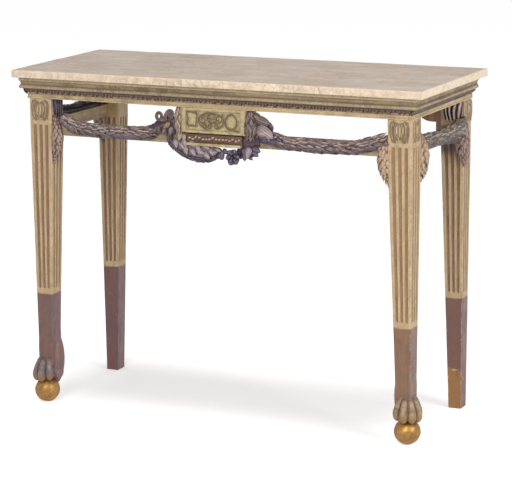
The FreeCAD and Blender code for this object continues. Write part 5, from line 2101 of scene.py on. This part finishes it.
@dataclass(frozen=True)
class Cluster:
    """Carvings joined into one piece in front of the rail, placed by distance across and height.

    Masses give half width, half depth, half height and tone; masses of low tone are dark lumps of painted shade among
    the carved parts.
    Leaves give their slope towards the viewer, then turn and size. Bands give their width, and ropes their radius at
    each point.
    """

    name: str
    finish: str
    depth: str
    nodes: tuple[str, ...] = ()
    ahead: float = 0.0
    masses: tuple[Spot, ...] = ()
    leaves: tuple[tuple[Leaf, float, tuple[Spot, ...]], ...] = ()
    bands: tuple[tuple[float, tuple[Plan, ...]], ...] = ()
    ropes: tuple[tuple[Spot, ...], ...] = ()
    mass_set: float = 0.004
    dent: float = 0.0011
    dent_length: float = 0.014
    band_thickness: float = 0.009
    band_wave: float = 0.003
    rope_radius: float = 0.0065

    def mass(self, name: str, y: float, spot: Spot, seed: int) -> Piece:
        """Build one rounded mass.

        Args:
            name: Name of the piece.
            y: Depth of its middle.
            spot: Place across, height, half width, half depth, half height and tone.
            seed: Seed of its dents.

        Returns:
            The mass.
        """
        x, z, wide, deep, high, tone = spot
        around = ball_grid(rows=16, columns=28, pole=0.05)
        places = np.array([x, y, z]) + around * np.array([wide, deep, high])
        dents = Ripple(self.dent_length, seed).at(places)
        places = places + around * (self.dent * dents)[..., None]
        values = {"relief": np.clip(dents * 0.6 + tone, -1, 1)}
        return new_piece(name, places, skin_faces(*places.shape[:2]), values)

    def leaf(self, name: str, y: float, leaf: Leaf, slope: float, spot: Spot) -> Piece:
        """Set one leaf.

        Args:
            name: Name of the piece.
            y: Depth of its stalk.
            leaf: Leaf to set.
            slope: How far it leans towards the viewer.
            spot: Place across, height, turn in degrees and size.

        Returns:
            The leaf in its place.
        """
        x, z, turn, size = spot
        piece = leaf.make()
        piece.name = name
        way = Vector((math.cos(math.radians(turn)), -slope, math.sin(math.radians(turn)))).normalized()
        out = (Vector((0, -1, 0)) - way * way.dot(Vector((0, -1, 0)))).normalized()
        matrix = Matrix((way, out.cross(way), out)).transposed().to_4x4() @ Matrix.Scale(size, 4)
        piece.data.transform(Matrix.Translation((x, y, z)) @ matrix)
        return piece

    def build(self, finishes: Finishes, rope: GeometryTree, band: GeometryTree) -> None:
        """Build the parts, join them and dress the piece.

        Args:
            finishes: Materials of the table.
            rope: Tree that lays leaves along a line.
            band: Tree that lays a ribbon along a line.
        """
        low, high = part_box(self.depth)
        y = (low.y + high.y) / 2 - self.ahead
        material = finishes.bronzed[self.finish]
        parts = []
        for number, points in enumerate(self.ropes):
            small = SMALL_LEAF.make()
            path = Path.through([(x, y, z) for x, z, _ in points], [stop[2] for stop in points])
            parts.append(rope.run(f"{self.name}_rope_{number}", path, Leaf=small, Step=0.0055, Rows=7, Arc=math.tau,
                                  Front=(0.0, -1.0, 0.0), Depth=0.9, Lean=0.16, Twist=0.3, Smallest=0.75,
                                  Full_Radius=self.rope_radius, Core=0.98, Seed=61 + number, Material=material))
            drop_piece(small)
        for number, (width, points) in enumerate(self.bands):
            stops = [(x, y - self.band_wave * math.sin(1.2 * step + number), z) for step, (x, z) in enumerate(points)]
            parts.append(band.run(f"{self.name}_band_{number}", Path.through(stops, 1.0), Width=width,
                                  Thickness=self.band_thickness, Facing=(0.0, -1.0, 0.0), Material=material))
        parts += [self.mass(f"{self.name}_mass_{number}", y + self.mass_set, spot, 90 + number)
                  for number, spot in enumerate(self.masses)]
        parts += [self.leaf(f"{self.name}_leaf_{number}", y, leaf, slope, spot)
                  for leaf, slope, spots in self.leaves for number, spot in enumerate(spots)]
        shell = bmesh.new()
        mesh = bpy.data.meshes.new(self.name)
        for part in parts:
            shell.from_mesh(part.data)
            drop_piece(part)
        shell.to_mesh(mesh)
        shell.free()
        mesh.shade_smooth()
        hand_over(linked(self.name, mesh), material, Slot.CARVING, *self.nodes)


FLOWER = (0.053, 0.7035)
CLUSTERS = (
    Cluster("bow_left", "bunch", "ribbon_bunch_left", ("ribbon_bunch_left",),
            masses=((-0.149, 0.773, 0.024, 0.006, 0.014, -0.9), (-0.124, 0.776, 0.019, 0.006, 0.026, -0.7),
                (-0.1245, 0.803, 0.0095, 0.005, 0.0105, -0.1), (-0.156, 0.762, 0.0085, 0.009, 0.0085, 0.1),
                (-0.17, 0.764, 0.015, 0.007, 0.014, -0.9)),
            leaves=((BROAD_LEAF, 0.2, ((-0.122, 0.776, 272, 0.8), (-0.137, 0.77, 250, 0.62),
                (-0.13, 0.79, 190, 0.62))),),
            bands=((0.0085, ((-0.14, 0.786), (-0.149, 0.788), (-0.158, 0.789), (-0.1635, 0.7965), (-0.161, 0.804),
                (-0.1545, 0.8055), (-0.148, 0.8025), (-0.147, 0.796), (-0.151, 0.79))),
                (0.0105, ((-0.137, 0.788), (-0.136, 0.797), (-0.1335, 0.806), (-0.127, 0.8115), (-0.119, 0.809),
                (-0.1165, 0.8015), (-0.1205, 0.795), (-0.1275, 0.795))))),
    Cluster("bow_leaf", "ochre_leaf", "ribbon_bunch_left", ahead=0.006,
            leaves=((BROAD_LEAF, 0.2, ((-0.122, 0.784, 226, 0.68),)),)),
    Cluster("cant_leaves", "cant_leaf", "ribbon_bunch_left", ahead=-0.004,
            leaves=((BROAD_LEAF, 0.2, ((-0.104, 0.764, 290, 0.8), (-0.097, 0.762, 266, 0.8),
                (-0.089, 0.757, 284, 0.7))),),
            ropes=(((-0.101, 0.8235, 0.006), (-0.1005, 0.806, 0.0082), (-0.1, 0.785, 0.0084),
                (-0.099, 0.764, 0.0065)),)),
    Cluster("bow_right", "bunch", "ribbon_bunch_right", ("ribbon_bunch_right",),
            masses=((0.118, 0.79, 0.018, 0.006, 0.03, -0.6), (0.14, 0.782, 0.024, 0.006, 0.02, -0.6),
                (0.118, 0.764, 0.018, 0.005, 0.012, -0.6)),
            leaves=((RIBBED_LEAF, 0.15, ((0.111, 0.806, 347, 1.0),)),
                (BROAD_LEAF, 0.2, ((0.11, 0.816, 326, 0.75), (0.114, 0.79, 270, 0.9), (0.122, 0.772, 10, 0.7)))),
            ropes=(((0.1, 0.8235, 0.007), (0.101, 0.805, 0.0095), (0.102, 0.785, 0.0105), (0.102, 0.762, 0.008)),)),
    Cluster("striped_leaves", "pale_leaf", "ribbon_bunch_right", ahead=0.005,
            leaves=((RIBBED_LEAF, 0.12, ((0.124, 0.786, 332, 1.05),)),
                (BROAD_LEAF, 0.2, ((0.12, 0.775, 345, 1.0),)))),
    Cluster("garland_end", "festoon", "ribbon_bunch_right", ahead=0.003,
            masses=((0.142, 0.757, 0.02, 0.008, 0.014, -0.5),),
            leaves=((BROAD_LEAF, 0.3, ((0.126, 0.762, 350, 0.8), (0.132, 0.75, 12, 0.7), (0.15, 0.768, 335, 0.75),
                (0.152, 0.752, 352, 0.75), (0.172, 0.76, 345, 0.65))),)),
    Cluster("festoon_hung", "festoon", "festoon", ("festoon",),
            masses=((-0.124, 0.729, 0.0085, 0.007, 0.009, -0.4), (0.008, 0.712, 0.014, 0.005, 0.011, -0.7)),
            leaves=((BROAD_LEAF, 0.1, ((0.008, 0.713, 306, 0.7), (0.016, 0.719, 290, 0.75),
                (0.022, 0.722, 322, 0.6))),),
            ropes=(((-0.131, 0.757, 0.0055), (-0.1275, 0.738, 0.0055), (-0.119, 0.723, 0.0052),
                (-0.104, 0.711, 0.005), (-0.085, 0.7005, 0.005), (-0.06, 0.693, 0.0052), (-0.034, 0.6905, 0.0052),
                (-0.012, 0.694, 0.0046), (0.005, 0.7, 0.0032)),)),
    Cluster("hanging_leaves", "pale_leaf", "festoon", ahead=0.003,
            masses=((-0.05, 0.712, 0.056, 0.004, 0.0175, -0.3), (-0.098, 0.725, 0.02, 0.004, 0.014, -0.3),
                (-0.01, 0.715, 0.026, 0.004, 0.013, -0.3)),
            leaves=((BROAD_LEAF, 0.16, ((-0.114, 0.742, 292, 0.8), (-0.102, 0.733, 320, 0.78),
                (-0.091, 0.742, 304, 0.75), (-0.087, 0.727, 296, 0.82), (-0.074, 0.736, 334, 0.78),
                (-0.071, 0.719, 318, 0.82), (-0.053, 0.731, 306, 0.76), (-0.053, 0.714, 348, 0.84),
                (-0.035, 0.729, 340, 0.78), (-0.033, 0.711, 326, 0.8), (-0.017, 0.723, 312, 0.76),
                (-0.015, 0.708, 14, 0.76), (0.0, 0.722, 345, 0.62))),)),
    Cluster("flower_petals", "flower", "drop_flower", ("drop_flower",),
            masses=((*FLOWER, 0.0155, 0.006, 0.019, -0.9), (*FLOWER, 0.0036, 0.0155, 0.004, 0.2)),
            leaves=((PETAL, 0.12, petal_ring(FLOWER, 6, 8.0, 0.98)),
                (PETAL, 0.8, petal_ring(FLOWER, 5, 30.0, 0.72)))),
    Cluster("sprig_leaves", "festoon", "leaf_sprig", ("leaf_sprig",),
            masses=((0.096, 0.722, 0.026, 0.005, 0.017, -0.7), (0.082, 0.712, 0.011, 0.006, 0.012, -0.7),
                (0.0705, 0.713, 0.012, 0.005, 0.015, -0.8)),
            leaves=((BROAD_LEAF, 0.15, ((0.076, 0.728, 305, 0.8), (0.082, 0.72, 280, 0.75), (0.1, 0.729, 348, 0.95),
                (0.1, 0.724, 330, 0.85), (0.092, 0.712, 320, 0.6))),)),
    Cluster("rail_ribbon", "tail", "leaf_sprig", ahead=-0.007,
            bands=((0.021, ((0.064, 0.7405), (0.083, 0.742), (0.103, 0.742), (0.122, 0.7435))),)),
    Cluster("rosy_leaf", "pale_leaf", "leaf_sprig", ahead=0.006,
            leaves=((BROAD_LEAF, 0.2, ((0.099, 0.734, 264, 0.95),)),)),
)


@dataclass
class PawFoot:
    """A front foot: a lion's paw, turned outward on the diagonal, on a gilt ball."""

    hand: str
    voxel: float = 0.0014
    toe_turns: tuple[float, ...] = (-88.0, -44.0, 0.0, 44.0, 88.0)
    toe_masses: tuple[Spot, ...] = ((0.0205, 0.098, 0.0125, 0.0102, 0.0235, -12.0),
                                    (0.0238, 0.088, 0.0134, 0.0114, 0.024, -10.0),
                                    (0.0262, 0.0795, 0.0138, 0.0121, 0.0215, -6.0))
    outer_toe_lift: float = 0.004
    palm: tuple[tuple[Spot, Spot], ...] = (((0.002, 0.0, 0.086), (0.029, 0.032, 0.03)),
                                           ((-0.0168, 0.0, 0.18), (0.0243, 0.021, 0.094)),
                                           ((-0.022, 0.0, 0.118), (0.0272, 0.024, 0.074)),
                                           ((-0.022, 0.0, 0.078), (0.023, 0.027, 0.021)))
    sleeve: tuple[Plan, ...] = ((-0.03, -0.004), (-0.01, 0.001), (0.03, 0.0009), (0.08, -0.0016))
    leg_taper: float = 0.018
    toe_top: float = 0.128
    toe_fade: float = 0.024
    heel_line: float = -0.008
    heel_fade: float = 0.014

    def blob(self, shell: bmesh.types.BMesh, place: Sequence[float], radii: Sequence[float], turn: float = 0.0,
             tilt: float = 0.0) -> None:
        """Add a rounded mass to the paw.

        Args:
            shell: Mesh that it joins.
            place: Distance ahead of the foot's middle, distance aside and height.
            radii: Half sizes ahead, aside and up.
            turn: Turn about the upright in degrees.
            tilt: Lean ahead in degrees.
        """
        matrix = (self.stance @ Matrix.Translation(place) @ Matrix.Rotation(math.radians(turn), 4, "Z")
                  @ Matrix.Rotation(math.radians(tilt), 4, "Y") @ Matrix.Diagonal((*radii, 1.0)))
        bmesh.ops.create_icosphere(shell, subdivisions=3, radius=1.0, matrix=matrix)

    def shank(self, shell: bmesh.types.BMesh) -> None:
        """Add a sleeve round the leg's foot, flush at its top, that the heel and toes grow from.

        Args:
            shell: Mesh that it joins.
        """
        points = node_points(f"leg_front_{self.hand}")
        bottom = points[:, 2].min()
        toe = points[points[:, 2] < bottom + TOE_SLICE][:, :2]
        rings = []
        for above, grow in self.sleeve:
            level = bottom + above
            rise = (level - bottom) * self.leg_taper
            (left, front), (right, back) = toe.min(axis=0) - grow - rise, toe.max(axis=0) + grow + rise
            corners = ((left, front), (right, front), (right, back), (left, back))
            rings.append([shell.verts.new((*corner, level)) for corner in corners])
        for one, two in zip(rings, rings[1:]):
            for index in range(4):
                shell.faces.new((one[index], one[(index + 1) % 4], two[(index + 1) % 4], two[index]))
        shell.faces.new(rings[0][::-1])
        shell.faces.new(rings[-1])

    def build(self, finishes: Finishes) -> None:
        """Build the paw and its ball and dress them.

        Args:
            finishes: Materials of the table.
        """
        low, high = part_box(f"ball_foot_{self.hand}")
        centre = (low + high) / 2
        heading = -135.0 if self.hand == "left" else -45.0
        self.stance = Matrix.Translation((centre.x, centre.y, 0.0)) @ Matrix.Rotation(math.radians(heading), 4, "Z")
        shell = bmesh.new()
        self.shank(shell)
        for place, radii in self.palm:
            self.blob(shell, place, radii)
        for turn in self.toe_turns:
            angle = math.radians(turn)
            lift = self.outer_toe_lift if abs(turn) > 80 else 0.0
            for far, level, *radii, tilt in self.toe_masses:
                place = (far * math.cos(angle), far * math.sin(angle), level + lift)
                self.blob(shell, place, radii, turn, tilt)
        mesh = bpy.data.meshes.new(f"paw_{self.hand}_carved")
        bmesh.ops.recalc_face_normals(shell, faces=shell.faces)
        shell.to_mesh(mesh)
        shell.free()
        piece = linked(mesh.name, mesh)
        remesh = piece.modifiers.new("join", "REMESH")
        remesh.mode = "VOXEL"
        remesh.voxel_size = self.voxel
        smooth = piece.modifiers.new("soften", "SMOOTH")
        smooth.factor = 0.5
        smooth.iterations = 7
        settle(piece)
        made = piece.data
        made.shade_smooth()
        store_relief(piece, reach=0.0011, rounds=22)
        places = np.array([(self.stance.inverted() @ vertex.co)[:] for vertex in made.vertices])
        below = np.clip((self.toe_top - places[:, 2]) / self.toe_fade, 0, 1)
        store(made, "toes", below * np.clip((places[:, 0] - self.heel_line) / self.heel_fade, 0, 1))
        store(made, "rosy", np.full(len(made.vertices), LEG_TINTS[f"leg_front_{self.hand}"]))
        hand_over(piece, finishes.paw, Slot.CARVING, f"paw_{self.hand}")
        self.build_ball(finishes)

    def build_ball(self, finishes: Finishes) -> None:
        """Build the gilt ball, slightly uneven and flat where it stands.

        Args:
            finishes: Materials of the table.
        """
        low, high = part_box(f"ball_foot_{self.hand}")
        centre, radius = (low + high) / 2, (high.x - low.x) / 2
        middle = np.array([centre.x, centre.y, high.z - radius])
        around = ball_grid(rows=40, columns=64, pole=0.02)
        places = middle + around * radius
        places = middle + around * (radius - 0.0004 * (1 + Ripple(0.02, 77).at(places)))[..., None]
        places[..., 2] = np.maximum(places[..., 2], low.z)
        ball = new_piece(f"ball_{self.hand}_gilt", places, skin_faces(*places.shape[:2]))
        hand_over(ball, finishes.gilding, Slot.GILDING, f"ball_foot_{self.hand}")


@dataclass(frozen=True)
class Carcase:
    """CAD nodes whose shapes stay, dressed with paint or bare wood."""

    def dress(self, finishes: Finishes, nodes: dict[str, Piece]) -> None:
        """Give each remaining node its material.

        Args:
            finishes: All materials.
            nodes: CAD objects by node name.
        """
        groups = {
            finishes.painted["rail"]: ("frieze_rail_front", "frieze_rail_left", "frieze_rail_right",
                                       "swag_rail_front", "swag_rail_left", "swag_rail_right"),
            finishes.wood: ("frieze_rail_back", "bearer_left", "bearer_right", "tenon_pegs"),
            finishes.upright_wood: ("corner_blocks", "back_bracket", "foot_dowels"),
        }
        for material, names in groups.items():
            for name in names:
                mesh = nodes[name].data
                mesh.materials.clear()
                mesh.materials.append(material)
                LOG.info("%s: CAD shape with %s", name, material.name)


@dataclass(frozen=True)
class Studio:
    """Camera at the photograph's angle, pale floor and soft light."""

    place: tuple[float, float, float] = (2.57345, -5.49407, 1.68325)
    direction: tuple[float, float, float] = (-0.41336, 0.88853, -0.19913)
    roll: float = -0.471
    lens: float = 165.1
    sky: float = 0.5
    # Floor glow over a patch under the table, kept low to leave a painted shadow there; far_lift is the glow beyond
    # it.
    lift: float = 0.19
    far_lift: float = 0.55
    floor_half: float = 14.0

    def camera(self) -> None:
        """Set up the camera."""
        data = bpy.data.cameras.new("photo_camera")
        data.lens = self.lens
        data.sensor_width = 36.0
        data.sensor_fit = "HORIZONTAL"
        data.clip_end = 60.0
        camera = linked("photo_camera", data)
        camera.location = self.place
        aim = Vector(self.direction).to_track_quat("-Z", "Y")
        camera.rotation_euler = (aim @ Quaternion((0, 0, 1), math.radians(self.roll))).to_euler()
        bpy.context.scene.camera = camera

    def lamp(self, name: str, place: Sequence[float], target: Sequence[float], size: float, power: float,
             colour: Colour = (1.0, 1.0, 1.0)) -> None:
        """Add a soft square lamp.

        Args:
            name: Name of the lamp.
            place: Where it stands.
            target: Point that it faces.
            size: Side of the square in metres.
            power: Power in watts.
            colour: Colour of its light.
        """
        data = bpy.data.lights.new(name, "AREA")
        data.shape = "SQUARE"
        data.size = size
        data.energy = power
        data.color = colour
        lamp = linked(name, data)
        lamp.location = place
        lamp.rotation_euler = (Vector(target) - Vector(place)).to_track_quat("-Z", "Y").to_euler()

    def seen(self, graph: NodeGraph) -> Socket:
        """Tell rays that show the background to the camera, directly or through gloss, from those that light.

        Args:
            graph: Tree of a material or the world.

        Returns:
            1 for rays that show it, 0 for the others.
        """
        path = graph.add("ShaderNodeLightPath").outputs
        shown = graph.math("MAXIMUM", path["Is Camera Ray"], path["Is Glossy Ray"])
        return graph.math("MAXIMUM", shown, path["Is Transmission Ray"])

    def world(self) -> None:
        """Make a white surrounding that lights softly."""
        world = bpy.data.worlds.new("studio_white")
        bpy.context.scene.world = world
        graph = NodeGraph(empty_tree(world))
        strength = graph.out("ShaderNodeMapRange", {0: self.seen(graph), 3: self.sky, 4: 1.0})
        light = graph.out("ShaderNodeBackground", {"Color": WHITE, "Strength": strength})
        graph.add("ShaderNodeOutputWorld", {0: light})

    def floor(self) -> None:
        """Lay a pale floor that keeps the table's shadow and shows white, with a painted shadow patch under the table
        where its glow is weaker.
        """
        half = self.floor_half
        corners = np.array([(-half, -half, 0), (half, -half, 0), (half, half, 0), (-half, half, 0)], float)
        floor = new_piece("studio_floor", corners, [(0, 1, 2, 3)])
        material = bpy.data.materials.new("studio_floor")
        graph = NodeGraph(empty_tree(material))
        matt = graph.out("ShaderNodeBsdfDiffuse", {"Color": (0.86, 0.86, 0.86, 1.0)})
        place = graph.add("ShaderNodeTexCoord").outputs["Object"]
        # Painted shadow: the glow rises from lift over a box under the table to far_lift 0.3 m outside it.
        beside = graph.vector("ABSOLUTE", graph.vector("SUBTRACT", place, (-0.05, 0.07, 0.0)))
        beyond = graph.vector("MAXIMUM", graph.vector("SUBTRACT", beside, (0.36, 0.06, 0.0)))
        far = graph.add("ShaderNodeVectorMath", {0: beyond}, operation="LENGTH").outputs["Value"]
        strength = graph.times(self.seen(graph), graph.span(far, 0.0, 0.3, self.lift, self.far_lift))
        glow = graph.out("ShaderNodeEmission", {"Color": WHITE, "Strength": strength})
        graph.add("ShaderNodeOutputMaterial", {0: graph.out("ShaderNodeAddShader", {0: matt, 1: glow})})
        floor.data.materials.append(material)

    def build(self) -> None:
        """Set up camera, light and floor."""
        bpy.context.scene.view_settings.view_transform = "Standard"
        self.camera()
        self.world()
        self.floor()
        self.lamp("front_softbox", (0.5, -4.4, 2.6), (0.0, 0.0, 0.5), 2.4, 107.0)
        self.lamp("end_softbox", (4.2, -1.4, 2.0), (0.3, 0.0, 0.5), 2.0, 94.0, (0.97, 0.98, 1.0))


FLUTE_FALLS = (0.074, 0.105)


def build_legs(finishes: Finishes) -> None:
    """Build the four legs with their own flutes, panels and wear.

    Args:
        finishes: Materials of the table.
    """
    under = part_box("fascia_front")[0].z
    front_top, back_top = (under - fall for fall in FLUTE_FALLS)
    shown = tuple(Side)
    plain_back = (Side.FRONT, Side.RIGHT, Side.LEFT)
    legs = (Leg("leg_front_left", (Side.FRONT, Side.LEFT), shown, front_top, 101, wear=0.15),
            Leg("leg_front_right", (Side.FRONT, Side.RIGHT), shown, front_top, 103, wear=0.5),
            Leg("leg_back_left", (), plain_back, back_top, 105, wear=0.3),
            Leg("leg_back_right", (), plain_back, back_top, 107, wear=0.7, worn_toe=0.108, smoke=(0.672, 0.762)))
    for leg in legs:
        leg.build(finishes)


def main() -> None:
    """Load the frame, build and dress every piece, and set up the studio."""
    logging.basicConfig(level=logging.INFO, format="%(name)s: %(message)s")
    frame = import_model()
    finishes = Finishes()
    rope = leaf_rope_tree()
    MarbleSlab().build(finishes)
    Mouldings().build(finishes)
    build_legs(finishes)
    Paterae().build(finishes)
    Tablet().build(finishes)
    Garlands().build(finishes, rope)
    Ribbons().build(finishes)
    band = band_tree()
    for cluster in CLUSTERS:
        cluster.build(finishes, rope, band)
    for hand in ("left", "right"):
        PawFoot(hand).build(finishes)
    Carcase().dress(finishes, frame["nodes"])
    Studio().build()


if __name__ == "__main__":
    main()
